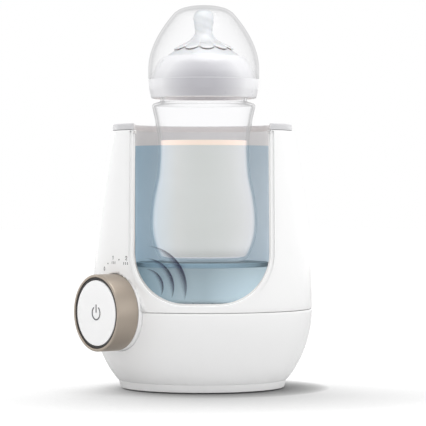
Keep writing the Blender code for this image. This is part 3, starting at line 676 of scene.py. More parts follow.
def keep(look, *names, bevel=0.0):
    """Show CAD nodes as they are, with a finer finish and edges softened by a bevel in mm."""
    for name in names:
        obj = NODES[name]
        wear_look(obj, look)
        if bevel:
            obj.modifiers.new("weld", "WELD").merge_threshold = 0.005 * MM
            soften(obj, bevel * MM)


# Housing


def make_side_table():
    """Heights and radii of the upper housing's wall, for looking up."""
    slope = (DECK_R + 6.9 * MM, DECK_Z - 39.0 * MM)
    upright = (SEAM_R, UPPER_LOW_Z + 36.0 * MM)
    wall = bezier((DECK_R, DECK_Z), slope, upright, (SEAM_R, UPPER_LOW_Z), 200)
    radii, heights = zip(*reversed(wall))
    return np.array(heights), np.array(radii)


SIDE_HEIGHTS, SIDE_RADII = make_side_table()


def side_radius(height):
    """The upper housing's outer radius at a height."""
    return float(np.interp(height, SIDE_HEIGHTS, SIDE_RADII))


def on_side(angle, height):
    """The point of the upper housing's wall at an angle and height."""
    return at_angle(side_radius(height), angle, height)


def window_path(grow, top, straight=38, curve=26, flat=7):
    """(x, z) along the window's U from its top left end round to its top right end."""
    half = WINDOW_HALF_WIDTH + grow
    corner = WINDOW_CORNER_R + grow
    center_x = WINDOW_HALF_WIDTH - WINDOW_CORNER_R
    center_z = WINDOW_BOTTOM_Z + WINDOW_CORNER_R
    left = [(-half, top + (center_z - top) * index / straight) for index in range(straight)]
    for index in range(curve):
        angle = math.pi * (1 + 0.5 * index / curve)
        left.append((-center_x + corner * math.cos(angle), center_z + corner * math.sin(angle)))
    bottom = center_z - corner
    left += [(-center_x * (1 - index / flat), bottom) for index in range(flat)]
    right = [(-across, height) for across, height in reversed(left)]
    return [*left, (0.0, bottom), *right], straight + curve // 2


def at_depth(across, height, radius):
    """The point of an upright cylinder in front of the axis, held clear of its side."""
    return (across, -math.sqrt(max(radius**2 - across**2, SIDE_MARGIN**2)), height)


def window_band(path, corner, rows):
    """Rows of wall points between the window's edge and a border left, below and right of it."""
    last = len(path) - 1
    middle = last // 2
    top, low = path[0][1], UPPER_LOW_Z + EDGE_R
    made = []
    for row in range(rows + 1):
        t = (row / rows) ** 1.6
        line = []
        for index, (across, height) in enumerate(path):
            step = min(index, last - index)
            border_angle = -BAND_END if index <= middle else BAND_END
            border_height = top + (low - top) * min(step / corner, 1.0)
            if step > corner:
                border_angle *= 1 - (step - corner) / (middle - corner)
            angle = math.asin(across / side_radius(height))
            line.append(on_side(angle + (border_angle - angle) * t, height + (border_height - height) * t))
        made.append(line)
    return made


def moved_in(place, inward, lift):
    """A point moved towards the axis and up."""
    radius = math.hypot(place[0], place[1])
    share = (radius - inward) / radius
    return (place[0] * share, place[1] * share, place[2] + lift)


def edge_ring(points, lifted, depth_in):
    """Rows that turn from a wall's end over a rounded edge and then run inwards."""
    rows = []
    for step in range(1, 5):
        turn = math.pi / 2 * step / 4
        inward = EDGE_R * (1 - math.cos(turn))
        rows.append([moved_in(place, inward, lifted * EDGE_R * math.sin(turn)) for place in points])
    rows.append([moved_in(place, depth_in, lifted * EDGE_R) for place in points])
    return rows


def window_jamb(edge, top):
    """Rows from the window's edge round its corner and straight back to the pane's seal."""
    sharp = window_path(0.0, top)[0]
    rounding = []
    for start, (across, height) in zip(edge, sharp):
        corner = Vector(on_side(math.asin(across / side_radius(height)), height))
        rounding.append((Vector(start), corner, corner + Vector((0, EDGE_R, 0))))
    rows = [edge]
    for step in (1, 2, 3, 4):
        t = step / 4
        rows.append([a.lerp(b, t).lerp(b.lerp(c, t), t) for a, b, c in rounding])
    deep = [Vector(at_depth(across, height, PANE_OUT_R + 1.6 * MM)) for across, height in sharp]
    for step in range(1, 9):
        rows.append([start.lerp(end, step / 8) for start, end in zip(rows[4], deep)])
    return rows


def open_round_hole(shape, axis, radius, nearest):
    """Open a round hole about an axis, beyond a distance along it, and draw its edge onto the circle."""
    back = axis.inverted()
    held = set()
    for vertex in shape.verts:
        place = back @ vertex.co
        if place.z > nearest and place.xy.length < radius:
            held.add(vertex)
    gone = [face for face in shape.faces if all(vertex in held for vertex in face.verts)]
    bmesh.ops.delete(shape, geom=gone, context="FACES")
    for vertex in held:
        if vertex.is_valid:
            place = back @ vertex.co
            share = radius / place.xy.length
            vertex.co = axis @ Vector((place.x * share, place.y * share, place.z))


def make_upper_housing():
    """The tapered shell: a band fitted round the window, the back, the edges and the window's deep jamb."""
    top = DECK_Z - EDGE_R
    shape = bmesh.new()
    path, corner = window_path(EDGE_R, top)
    band = window_band(path, corner, 24)
    stitch(shape, band)
    heights = [place[2] for place in band[-1][: corner + 1]]
    back = [arc_row(side_radius(height), height, BAND_END, 2 * math.pi - BAND_END, 88) for height in heights]
    stitch(shape, back)
    upper_line = [row[-1] for row in band] + back[0][1:] + [row[0] for row in reversed(band)][1:]
    stitch(shape, [*reversed(edge_ring(upper_line, 1, 3 * MM)), upper_line])
    low_line = band[-1][corner : len(path) - corner] + back[-1][1:]
    stitch(shape, [low_line, *edge_ring(low_line, -1, 1.6 * MM)])
    stitch(shape, window_jamb(band[0], top)[::-1])

    bmesh.ops.remove_doubles(shape, verts=shape.verts, dist=SAME_PLACE)
    bmesh.ops.recalc_face_normals(shape, faces=shape.faces)
    rear = max(shape.faces, key=lambda face: face.calc_center_median().y)
    if rear.normal.y < 0:
        bmesh.ops.reverse_faces(shape, faces=shape.faces)
    open_round_hole(shape, DIAL_AXIS, DIAL_HOLE_R, DIAL_HOLE[0])
    obj = thicken(finished("upper_housing_shell", shape), WALL)
    piece(obj, "white_gloss_plastic", "warmer", "white_gloss_plastic", "upper_housing")


def make_lower_housing():
    """The bowl, rounded at the seam, with its foot ring and an inner wall."""
    lip_r, lip_z = SEAM_R - WALL - 0.4 * MM, LOWER_TOP_Z + 2.2 * MM
    wall_r = lip_r - 1.4 * MM
    flange_in, flange_out = 43.4 * MM, size_about("base_plate")[0] + GAP
    flange_low = FOOT_Z + 3.7 * MM
    flange_high = flange_low + 2.3 * MM
    bend_high, bend_low = 34.5 * MM, 15.8 * MM
    seam, foot = (SEAM_R, LOWER_TOP_Z - EDGE_R), (54.1 * MM, 5.4 * MM)
    outer = bezier(seam, (SEAM_R, bend_high), (63.6 * MM, bend_low), foot, 40)
    inner_top = (wall_r, LOWER_TOP_Z - 5 * MM)
    inner_high = (SEAM_R - 4 * MM, bend_high)
    inner = bezier((52.6 * MM, flange_high), (59.6 * MM, bend_low), inner_high, inner_top, 20)
    foot_ring = [foot, (53.5 * MM, 5.0 * MM, 0.3), (52.2 * MM, FOOT_Z, 0.8), (flange_out, FOOT_Z, 0.4)]
    foot_ring += [(flange_out, flange_low), (flange_in, flange_low)]
    profile = [(lip_r, lip_z), (lip_r, LOWER_TOP_Z)]
    profile += rounded([(lip_r, LOWER_TOP_Z), (SEAM_R, LOWER_TOP_Z, EDGE_R / MM), seam], closed=False)[1:-1]
    profile += outer + rounded(foot_ring, closed=False)[1:]
    profile += [(flange_in, flange_high), *inner, (wall_r, lip_z)]
    obj = turned("lower_housing_shell", profile, BODY_STEPS, closed=True)
    low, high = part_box("cord_grip")
    cord_place = Matrix.Translation((0, CORD_HOLE_Y, (low.z + high.z) / 2))
    cord_axis = cord_place @ Matrix.Rotation(math.radians(90), 4, "X")
    cord_hole = cutter(CORD_HOLE_R, -13 * MM, 13 * MM, 48, cord_axis)
    cut(obj, cutter(DIAL_HOLE_R, *DIAL_HOLE, 96, DIAL_AXIS), cord_hole)
    piece(obj, "white_gloss_plastic", "warmer", "white_gloss_plastic", "lower_housing")


def make_top_rim():
    """The grey trim ring, open over the window, with rounded edges."""
    outside = [(DECK_R - 0.5 * MM, RIM_TOP_Z, 0.8), (RIM_R - 0.2 * MM, RIM_LOW_Z, 0.15)]
    profile = rounded([(WELL_R, RIM_TOP_Z, 0.6), *outside, (WELL_R, RIM_LOW_Z, 0.05)])

    def start_at(radius):
        return math.asin(WINDOW_HALF_WIDTH / radius) if radius > WINDOW_HALF_WIDTH else math.radians(88)

    obj = part_turned("top_rim_ring", profile, 168, start_at)
    soften(obj, 0.35 * MM, 3, 50)
    piece(obj, "light_grey_plastic", "warmer", "light_grey_plastic", "top_rim")


# Well


def make_liner():
    """The smooth back wall of the well, with a rounded brim, as far forward as the CAD piece."""
    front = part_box("well_liner")[0].y
    profile = square_profile(WELL_R, WELL_OUT_R, LINER_LOW_Z, RIM_LOW_Z, 0.05, 0.3)

    def start_at(radius):
        return math.acos(max(-1.0, min(1.0, -front / radius)))

    obj = part_turned("well_liner_wall", profile, 96, start_at)
    piece(obj, "well_liner_plastic", "warmer", "liner_plastic", "well_liner")


def make_pane():
    """The clear front wall of the well, bent round the body's axis to fill the window's U."""
    inside_r = min(vertex.co.xy.length for vertex in NODES["window_pane"].data.vertices)
    path = window_path(1.5 * MM, PANE_TOP_Z)[0]
    lowest = min(height for _, height in path)
    edge_line = [(across, height) for across, height in path if across < 0 and height > lowest]
    edge_line.append((WINDOW_CORNER_R - WINDOW_HALF_WIDTH, lowest))
    widest = math.sin(math.acos(SIDE_MARGIN / PANE_OUT_R))
    rows = []
    for across, height in edge_line:
        end = math.asin(min(-across / PANE_OUT_R, widest))
        rows.append(arc_row(PANE_OUT_R, height, -end, end, 72))
    shape = bmesh.new()
    stitch(shape, rows)
    pane = thicken(finished("window_pane_clear", shape), PANE_OUT_R - inside_r)
    soften(pane, 0.25 * MM, 2, 60)
    piece(pane, "blue_pane", "warmer", "blue_pane", "window_pane")


def make_gasket():
    """The seal between the pane and the housing."""
    inside, outside = window_path(0.0, PANE_TOP_Z)[0], window_path(2.0 * MM, PANE_TOP_Z)[0]
    rows = []
    for path, away in ((inside, 1.25), (outside, 1.25), (outside, 0.3), (inside, 0.3)):
        rows.append([at_depth(across, height, PANE_OUT_R + away * MM) for across, height in path])
    seal = finished("window_seal", capped_band(rows), outward=True)
    soften(seal, 0.2 * MM, 2, 50)
    piece(seal, "pale_seal_silicone", "warmer", "grey_rubber", "window_gasket")


def make_water():
    """The bath round the bottle, with a curved edge where it meets the walls."""
    out_r, low, high = size_about("water")
    lip = in_mm([(0.0, 0.0), (0.4, 0.35), (1.2, 0.5)])
    profile = [(WATER_IN_R + along, high - down) for along, down in lip]
    profile += [(out_r - along, high - down) for along, down in reversed(lip)]
    profile += [(out_r, low), (WATER_IN_R, low)]
    lathe("water_bath", profile, True, "water", "warmer", "water", "water")


def make_shroud():
    """The pale cup that covers the heater under the well floor."""
    radius, low, _ = size_about("heater_shroud")
    high = size_about("plate_seal")[1] - 0.02 * MM
    wall = 1.8 * MM
    in_r, floor = radius - wall, low + wall
    outside = [(in_r, high), (radius, high, 0.1), (radius, low, 2.0), (0, low)]
    profile = rounded(outside, closed=False, count=6)
    profile += rounded([(0, floor), (in_r, floor, 1.2), (in_r, high)], closed=False)
    lathe("heater_shroud_cup", profile, False, "shroud_plastic", "warmer", "shroud_plastic", "heater_shroud")


def make_plate():
    """The heating plate, and the seal round it."""
    radius, low, high = size_about("heating_plate")
    profile = rounded([(0, high), (radius, high, 0.5), (radius, low, 0.4), (0, low)], closed=False)
    lathe("heating_plate_disc", profile, False, "plate_metal", "warmer", "plate_metal", "heating_plate")
    radius, low, high = size_about("plate_seal")
    profile = square_profile(radius - 1.3 * MM, radius, low, high, 0.4, 0.4)
    lathe("plate_seal_ring", profile, True, "grey_seal_silicone", "warmer", "grey_rubber", "plate_seal")


# Bottle


BOTTLE_LINE = through(in_mm([
    (32.2, 181.0), (33.1, 179.4), (32.3, 175.5), (31.4, 171.5), (30.6, 166.5), (29.5, 161.0), (29.0, 153.5),
    (29.1, 146.0), (29.9, 136.0), (31.0, 130.0), (32.4, 123.5), (33.6, 116.0), (34.2, 109.0), (34.3, 103.0),
    (33.7, 97.0), (32.2, 91.0), (30.2, 86.0), (28.4, 82.6), (26.4, 80.9),
]), 6)


def make_bottle():
    """The clear bottle: neck, shoulder bead, waist and rounded foot."""
    _, low, high = size_about("bottle", BOTTLE_AXIS)
    neck_r, groove_r = 29.3 * MM, 27.8 * MM
    groove_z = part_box("screw_ring")[0].z - 2.0 * MM
    neck = [(neck_r - BOTTLE_WALL, high), (neck_r, high, 0.5), (neck_r, groove_z + 3.2 * MM)]
    groove = [(groove_r, groove_z + 2.0 * MM, 0.5), (groove_r, groove_z, 0.7), BOTTLE_LINE[0]]
    foot = in_mm([(24.0, 0.05), (20.0, 0.0), (17.0, 0.8), (0.0, 1.2)])
    outer = rounded([*neck, *groove], closed=False)[:-1] + BOTTLE_LINE
    outer += [(radius, low + up) for radius, up in foot]
    inner = inner_line(outer[1:-1], BOTTLE_WALL)
    profile = [*outer, (0.0, outer[-1][1] + BOTTLE_WALL), *reversed(inner)]
    lathe("bottle_clear", profile, True, "bottle_clear", "bottle", "clear_plastic", "bottle", BOTTLE_AXIS)


def make_neck_thread():
    """The screw thread round the bottle's neck: one and a quarter turns of 6 mm pitch."""
    high = size_about("bottle", BOTTLE_AXIS)[2]
    path = helix(29.4 * MM, high - 9.8 * MM, 7.5 * MM, 1.25, 90)
    thread = tube_along("neck_thread", path, 1.1 * MM, axis=BOTTLE_AXIS)
    piece(thread, "bottle_clear", "bottle", "clear_plastic")


def make_milk():
    """The milk, close inside the bottle, with a curved edge at its surface."""
    _, low, high = size_about("milk", BOTTLE_AXIS)
    wet = [point for point in inner_line(BOTTLE_LINE, 1.55 * MM) if low + 1 * MM < point[1] < high - 1 * MM]
    top_r, level = wet[0][0], high - 0.6 * MM
    profile = [(0, level), (top_r - 2.4 * MM, level), (top_r - 0.8 * MM, high - 0.3 * MM), (top_r, high)]
    profile += wet + [(radius, low + up) for radius, up in in_mm([(23.0, 0.2), (19.0, 0.3), (0.0, 1.6)])]
    lathe("milk_fill", profile, False, "milk", "bottle", "milk", "milk", BOTTLE_AXIS)


def make_screw_ring():
    """The ring: a skirt, a thin ledge that the dome stands on, and a shoulder."""
    radius, low, high = size_about("screw_ring", BOTTLE_AXIS)
    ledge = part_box("dome_cap")[0].z - GAP
    bore, mouth = 31.8 * MM, 24.3 * MM
    lip = (mouth, high - 1.8 * MM)
    shoulder = through(in_mm([(26.0, 211.0), (29.5, 207.0), (32.2, 201.6), (33.7, 197.2)]))
    skirt = [(33.8 * MM, ledge, 0.2), (radius, ledge, 0.35), (34.9 * MM, 190 * MM, 6.0)]
    inside = [(33.6 * MM, low, 1.4), (bore, low, 0.3), (bore, 198.2 * MM, 0.8), (27.4 * MM, 206.8 * MM, 2.0)]
    profile = rounded([lip, (mouth, high, 0.6), shoulder[0]], closed=False)[:-1]
    profile += shoulder[:-1] + rounded([shoulder[-2], *skirt, *inside, lip], closed=False)[1:-1]
    look, slot = "screw_ring_plastic", "white_gloss_plastic"
    lathe("screw_ring_cap", profile, True, look, "screw_ring", slot, "screw_ring", BOTTLE_AXIS)


PETALS = 10
PETAL_MIDDLE = math.radians(8)
PETAL_LIFT = 1.5 * MM
PETAL_REACH = 18.6 * MM
PETAL_BITE = 3.2 * MM
RIB_DEPTH = 0.14 * MM
RIB_PITCH = 4.6 * MM
RIB_LOW_Z = 226 * MM
RIB_TOP_Z = 240 * MM
CONE = through(in_mm([(7.2, 223.3), (10.3, 220.5), (15.1, 217.3), (18.9, 214.7), (23.4, 211.6)]))


def nipple_row(radius, height):
    """A ring of the nipple, with fine slanting ribs on its side."""
    rise = height - RIB_LOW_Z
    fade = max(0.0, min(1.0, rise / (2 * MM), (RIB_TOP_Z - height) / (2 * MM)))

    def rib(angle):
        return RIB_DEPTH * fade * math.sin(3 * angle + rise * 2 * math.pi / RIB_PITCH)

    return ring_row(radius, height, TEAT_STEPS, rib)


def petal_row(share, tuck, lift):
    """A ring of the cone, and each point's depth in a petal.

    The ring goes out over the petals up to share 1, and from there to the cone's foot.
    """
    radii, heights = zip(*CONE)
    row = []
    bulges = []
    for step in range(TEAT_STEPS):
        angle = 2 * math.pi * step / TEAT_STEPS
        turn = (angle - PETAL_MIDDLE) * PETALS / (2 * math.pi)
        across = abs(turn - round(turn)) * 2
        bulge = math.sqrt(max(0.0, 1 - across**2))
        edge = PETAL_REACH - PETAL_BITE * across**2
        if share <= 1:
            radius = radii[0] + (edge - radii[0]) * share
        else:
            radius = edge + (radii[-1] - edge) * (share - 1)
        radius -= tuck * bulge
        height = float(np.interp(radius, radii, heights)) + 0.85 * PETAL_LIFT * lift * bulge
        radius += 0.5 * PETAL_LIFT * lift * bulge
        row.append(at_angle(radius, angle, height))
        bulges.append(bulge)
    return row, bulges


def make_teat():
    """The silicone teat: ribbed nipple, cone with overhanging petals, and its rim inside the screw ring."""
    low = size_about("teat", BOTTLE_AXIS)[1]
    tip = [(0.0, 241.3), (2.4, 241.0), (4.6, 240.0), (6.0, 238.3), (6.55, 236.0), (6.2, 232.4)]
    nipple = through(in_mm([*tip, (5.6, 228.2), (5.7, 225.8), (7.2, 223.3)]), 6)
    base = in_mm([(23.7, 210.8), (23.6, 209.4), (26.5, 206.6), (30.2, 200.4), (30.7, 199.6), (30.7, 197.7)])
    # Petal rows: share, tuck, lift, and the painted shade under the lip.
    over = [(step / 14, 0.0, math.sin(step / 14 * math.pi / 2) ** 2, 0.0) for step in range(1, 15)]
    lip = [(1.0, -0.3, 0.7, 0.0), (1.0, -0.1, 0.35, 0.3), (1.0, 0.9, 0.1, 1.0), (1.0, 1.0, 0.0, 1.0)]
    beyond = [(1 + step / 8, 1 - step / 8, 0.0, 1.0 if step == 1 else 0.0) for step in range(1, 9)]

    rows = [nipple_row(*point) for point in nipple]
    petal_shades = [[]] * len(rows)
    for share, tuck, lift, petal_shade in over + lip + beyond:
        row, bulges = petal_row(share, tuck * MM, lift)
        rows.append(row)
        petal_shades.append([petal_shade * bulge for bulge in bulges])
    rows += [ring_row(*point, TEAT_STEPS) for point in base]
    inside = inner_line([*nipple[1:-1], *CONE, *base], 1.0 * MM)[::3]
    for radius, height in reversed(inside):
        if height < 239.6 * MM:
            rows.append(ring_row(max(radius, 0.3 * MM), max(height, low), TEAT_STEPS))
    rows.append([(0.0, 0.0, 240.0 * MM)])
    shape = bmesh.new()
    stitch_marked(shape, rows, "petal_shade", petal_shades, around=True)
    obj = finished("teat_silicone", shape, BOTTLE_AXIS, sharp=60)
    piece(obj, "teat_silicone", "teat", "silicone", "teat")


def make_dome():
    """The clear dome over the teat."""
    radius, low, high = size_about("dome_cap", BOTTLE_AXIS)
    crown = in_mm([(0.0, 0.0), (6.0, 0.12), (11.0, 0.95), (15.2, 2.3), (18.8, 4.6)])
    top = through([(along, high - down) for along, down in crown], 6)
    shoulder, upright = (27.0 * MM, high - 14.0 * MM), (radius, high - 26.8 * MM)
    side = bezier(top[-1], shoulder, upright, (radius, high - 40.8 * MM), 36)
    outer = [*top[:-1], *side, (radius, low + 0.4 * MM), (radius - 0.3 * MM, low)]
    inner = [(along, max(height, low)) for along, height in inner_line(outer[1:-2], 1.3 * MM)]
    profile = [*outer, (radius - 1.0 * MM, low), *reversed(inner), (0.0, high - 1.3 * MM)]
    lathe("dome_clear", profile, False, "dome_clear", "dome_cap", "clear_plastic", "dome_cap", BOTTLE_AXIS)


# Dial


def make_dial():
    """The turned metal grip, the black ring in its mouth, the button and the fixed base behind."""
    radius, back, front = size_about("dial_ring", DIAL_AXIS)
    trim_r, trim_low, _ = size_about("dial_trim", DIAL_AXIS)
    button_r, button_low, button_front = size_about("start_button", DIAL_AXIS)
    base_r, base_low, base_front = size_about("dial_base", DIAL_AXIS)
    sleeve_r = size_about("dial_sleeve", DIAL_AXIS)[0] + GAP
    inner, hub_r = trim_r + GAP, 3.2 * MM
    web = trim_low - GAP
    web_back = web - 1.5 * MM
    grip = rounded([
        (inner, front, 0.3), (radius, front, 0.8), (radius, back, 0.5), (inner, back, 0.2),
        (inner, web_back), (hub_r, web_back, 0.2), (hub_r, web, 0.2), (inner, web),
    ])
    trim = square_profile(button_r + GAP, trim_r, trim_low, button_front - 0.15 * MM, 0.2, 0.1)
    button_in_r, under = button_r - 1.6 * MM, button_front - 1.8 * MM
    dished = (button_r * 0.5, button_front - 0.1 * MM)
    button = [(0.0, button_front - 0.15 * MM)] + rounded([
        dished, (button_r, button_front, 0.35), (button_r, button_low, 0.2),
        (button_in_r, button_low), (button_in_r, under), (0.0, under),
    ], closed=False)
    base_in_r, boss_r, floor = base_r - 2 * MM, sleeve_r + 2 * MM, base_front - 2 * MM
    base = rounded([
        (sleeve_r, base_front, 0.2), (base_r, base_front, 0.5), (base_r, base_low, 0.2),
        (base_in_r, base_low), (base_in_r, floor), (boss_r, floor), (boss_r, base_low), (sleeve_r, base_low),
    ])
    white = "white_gloss_plastic"
    for row in (
        ("dial_grip", grip, True, "champagne_metal", "dial", "champagne_metal", "dial_ring"),
        ("dial_trim_ring", trim, True, "black_plastic", "dial", "black_plastic", "dial_trim"),
        ("start_button_cap", button, False, "button_plastic", "start_button", white, "start_button"),
        ("dial_base_plate", base, True, white, "warmer", white, "dial_base"),
    ):
        lathe(*row, DIAL_AXIS, DIAL_STEPS)


def make_button_spring():
    """The return coil under the button."""
    reach, low, high = size_about("button_spring", DIAL_AXIS)
    wire_r = 0.4 * MM
    path = helix(reach - wire_r, low + wire_r, high - low - 2 * wire_r, 3, 96)
    spring = tube_along("button_spring_coil", path, wire_r, axis=DIAL_AXIS)
    piece(spring, "steel", "start_button", "steel", "button_spring")
    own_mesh(spring)


# Prints


def ribbon(shape, line, width, low=-0.1 * MM, high=PRINT_HEIGHT):
    """A raised line of even width and round ends along (x, y) points."""
    half = width / 2
    places = [Vector(place) for place in line]
    left, right = [], []
    for before, place, after in with_neighbours(places):
        along = (after - before).normalized()
        side = Vector((-along.y, along.x)) * half
        left.append(place + side)
        right.append(place - side)

    def round_end(end, before):
        along = (end - before).normalized()
        side = Vector((-along.y, along.x))
        turns = (0.52, 1.05, 1.57, 2.09, 2.62)
        return [end + half * (side * math.cos(turn) + along * math.sin(turn)) for turn in turns]

    outline = left + round_end(places[-1], places[-2]) + right[::-1] + round_end(places[0], places[1])
    rows = [[(*place, height) for place in outline] for height in (high, low)]
    for ring in stitch(shape, rows, around=True):
        shape.faces.new(ring)


def make_power_symbol():
    """The printed power sign on the button: an open circle and a bar."""
    front = size_about("start_button", DIAL_AXIS)[2]
    circle_r, width = 4.1 * MM, 0.8 * MM
    turns = [math.radians(130 + 280 * step / 40) for step in range(41)]
    circle = [(circle_r * math.cos(turn), circle_r * math.sin(turn)) for turn in turns]
    shape = bmesh.new()
    for line in (circle, in_mm([(0.0, 0.6), (0.0, 2.8), (0.0, 5.0)])):
        ribbon(shape, line, width, front - 0.2 * MM, front + PRINT_HEIGHT)
    obj = finished("power_symbol", shape, DIAL_AXIS, outward=True)
    piece(obj, "grey_print", "start_button", "black_plastic")


def onto_housing(place):
    """A point of the dial's plane carried along the dial's axis onto the upper housing."""
    along = DIAL_AXIS.to_3x3() @ Vector((0, 0, 1))
    start = DIAL_AXIS @ Vector((place[0], place[1], 0.0))
    radius = side_radius(start.z) + place[2]
    forward = start.xy.dot(along.xy)
    reach = -forward + math.sqrt(forward**2 - start.xy.length_squared + radius**2)
    return start + along * reach


ZERO = [(0.5 * math.cos(t / 4 * math.pi), 0.8 * math.sin(t / 4 * math.pi)) for t in range(9)]
ONE = [(-0.3, 0.4), (0.1, 0.8), (0.1, -0.8)]
TWO = [(-0.5, 0.4), (-0.3, 0.75), (0.1, 0.8), (0.45, 0.55), (0.4, 0.1), (-0.5, -0.8), (0.5, -0.8)]
DOT = [(-0.1, 0.0), (0.1, 0.0)]


def make_dial_marks():
    """Printed numbers, bars and dots on the housing above the dial."""
    shape = bmesh.new()

    def place_line(points, angle, radius, size, width=0.5):
        turn = math.radians(angle)
        center = Vector((math.sin(turn), math.cos(turn))) * radius
        ribbon(shape, [(center + Vector(point) * size) * MM for point in points], width * MM)

    for angle, radius, digit in ((-25.5, 29.7, ZERO), (-4.7, 34.1, ONE), (16.7, 35.4, TWO)):
        place_line(digit, angle, radius, 1.4)
    for angle, radius in ((-3.5, 30.9), (18, 32.2)):
        for offset in (-1.3, 0.0, 1.3):
            place_line([(offset, -0.5), (offset, 0.5)], angle, radius, 1.25)
    for angle, radius in ((-15.5, 31.3), (6.3, 33.0)):
        place_line(DOT, angle, radius, 1.0, 0.9)
    for vertex in shape.verts:
        vertex.co = onto_housing(vertex.co)
    obj = finished("dial_marks", shape, outward=True)
    piece(obj, "grey_print", "warmer", "black_plastic")


def make_waves():
    """Three tapered arcs on the pane, spreading from the dial: radius, first and last angle, width."""
    center = Vector((-34.8 * MM, 65.3 * MM))
    shape = bmesh.new()
    steps, layers = 56, 10
    for radius, start, end, width in ((9.6, 98, -30, 3.7), (15.9, 94, -24, 4.8), (23.3, 90, -19, 6.2)):
        rows, inks = [], []
        for step in range(steps + 1):
            t = step / steps
            angle = math.radians(start + (end - start) * t)
            swell = math.sin(math.pi * t**1.3)
            row, ink = [], []
            for layer in range(layers + 1):
                inward = layer / layers
                reach = (radius + 0.35 * width - (width * swell**0.8 + 0.05) * inward) * MM
                place = center + Vector((math.cos(angle), math.sin(angle))) * reach
                row.append(at_depth(place.x, place.y, PANE_OUT_R + 0.05 * MM))
                ink.append(swell**0.6 * (1 - inward) ** 2 * min(1.0, inward * 8 + 0.5))
            rows.append(row)
            inks.append(ink)
        stitch_marked(shape, rows, "ink", inks)
    obj = thicken(finished("wave_print", shape, outward=True), PRINT_HEIGHT)
    piece(obj, "wave_ink", "warmer", "blue_pane")


# Kept pieces


KEPT = (
    ("light_grey_plastic", 0.3, "cord_grip"),
    ("cable_plastic", 0.3, "plug_body"),
    ("pin_brass", 0.4, "plug_pin_1", "plug_pin_2"),
    ("white_gloss_plastic", 0.3, "base_plate"),
    ("grey_rubber", 0.2, "rubber_foot_1", "rubber_foot_2", "rubber_foot_3", "rubber_foot_4"),
    ("steel", 0.15, "housing_screw_1", "housing_screw_2", "housing_screw_3", "housing_screw_4"),
    ("steel", 0.1, "heating_element", "element_clamp", "clamp_screw"),
    ("component_plastic", 0.3, "temperature_sensor", "relay", "terminal_block", "capacitor"),
    ("component_plastic", 0.2, "selector_body", "tact_switch"),
    ("cable_plastic", 0.3, "thermal_fuse"),
    ("circuit_board", 0.1, "control_board", "dial_board"),
    ("wire_sleeve", 0.0, "heater_lead_1", "heater_lead_2", "mains_lead_1", "mains_lead_2", "dial_cable"),
    ("black_plastic", 0.2, "dial_sleeve"),
    ("light_grey_plastic", 0.2, "button_stem"),
)


def keep_inner_parts():
    """A smooth cord along the CAD cord's line, and softened edges for the pieces inside and below."""
    cord = NODES["power_cord"]
    cord.modifiers.new("weld", "WELD").merge_threshold = 0.02 * MM
    smooth = cord.modifiers.new("smooth", "SUBSURF")
    smooth.levels = 2
    smooth.render_levels = 2
    keep("cable_plastic", "power_cord")
    for look, bevel, *names in KEPT:
        keep(look, *names, bevel=bevel)


# Studio


def make_floor():
    """A pale floor that runs out of sight; to the camera it is mostly a glow with a painted shadow round the
    object, deeper to its right and in front.
    """
    shape = bmesh.new()
    bmesh.ops.create_grid(shape, x_segments=1, y_segments=1, size=6.0)
    floor = finished("studio_floor", shape)
    floor.location.z = TABLE_Z
    graph = Graph("studio_floor")
    for_camera = graph.for_camera()
    cloud = graph.uneven(0.99, 1.01, 3.0)
    # Painted shadow: occlusion close by, looking left and back, and wider occlusion looking back, darken the
    # floor's glow to the right of the object and in front of it.
    contact = graph.shelter((-0.86, 0.25, 0.44), 0.026)
    behind = graph.shelter((-0.22, 0.97, 0.10), 0.14)
    lit = graph.times(graph.math("POWER", contact, 2.0), graph.math("POWER", behind, 1.9))
    shade = graph.times(lit, graph.times(cloud, 0.80))
    tone = graph.times(cloud, graph.between(for_camera, 0.64, 0.27))
    graph.principled({
        "Base Color": graph.node("CombineColor", {0: tone, 1: tone, 2: tone}),
        "Roughness": graph.uneven(0.7, 0.9, 20.0),
        "Specular IOR Level": 0.0,
        "Emission Color": WHITE,
        "Emission Strength": graph.times(for_camera, shade),
    })
    floor.data.materials.append(LOOKS["studio_floor"])


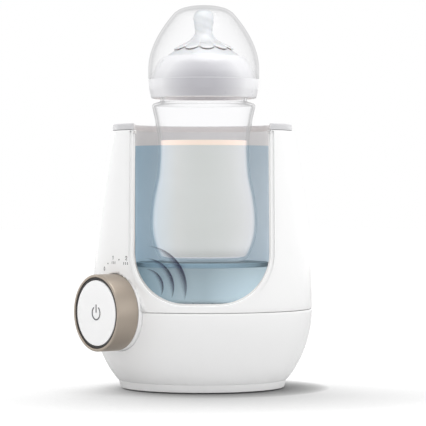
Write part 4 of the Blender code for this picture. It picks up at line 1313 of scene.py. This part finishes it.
def make_world():
    """White to the camera; as light, brighter near the horizon than above, and behind than in front."""
    graph = Graph("studio_world", "worlds")
    level = graph.between(graph.part(0, "Generated"), *WORLD_LEFT_RIGHT, -1.0, 1.0)
    along = graph.between(graph.part(1, "Generated"), *WORLD_FRONT_BACK, -1.0, 1.0)
    upward = graph.between(graph.part(2, "Generated"), *WORLD_LOW_HIGH)
    level = graph.times(graph.times(level, along), upward)
    light = graph.node("Background", {"Color": WHITE, "Strength": level})
    seen = graph.node("Background", {"Color": WHITE})
    graph.finish(graph.mix_shader(graph.for_camera(), light, seen), "OutputWorld")
    bpy.context.scene.world = LOOKS["studio_world"]


def make_key_light():
    """A wide soft light from above, a little to the left."""
    lamp = bpy.data.lights.new("key_light", "SUN")
    lamp.energy = KEY_STRENGTH
    lamp.angle = KEY_SOFTNESS
    obj = bpy.data.objects.new("key_light", lamp)
    obj.rotation_euler = Vector(KEY_DIRECTION).to_track_quat("-Z", "Y").to_euler()
    bpy.context.scene.collection.objects.link(obj)


def make_camera():
    """Level with the bottle's middle, far off on a long lens."""
    data = bpy.data.cameras.new("camera")
    data.lens = CAMERA_LENS
    data.sensor_width = 36.0
    data.shift_x, data.shift_y = CAMERA_SHIFT
    camera = bpy.data.objects.new("camera", data)
    camera.location = (CAMERA_SIDE, -CAMERA_DISTANCE, CAMERA_HEIGHT)
    camera.rotation_euler = (math.radians(90), 0.0, 0.0)
    bpy.context.scene.collection.objects.link(camera)
    bpy.context.scene.camera = camera


def set_render():
    """Plain colours, and enough bounces for the clear walls one behind another."""
    scene = bpy.context.scene
    scene.view_settings.view_transform = "Standard"
    scene.cycles.transparent_max_bounces = 48
    scene.cycles.max_bounces = 10


make_looks()
make_upper_housing()
make_lower_housing()
make_top_rim()
make_liner()
make_pane()
make_gasket()
make_water()
make_shroud()
make_plate()
make_bottle()
make_neck_thread()
make_milk()
make_screw_ring()
make_teat()
make_dome()
make_dial()
make_power_symbol()
make_button_spring()
make_dial_marks()
make_waves()
keep_inner_parts()
make_floor()
make_world()
make_key_light()
make_camera()
set_render()
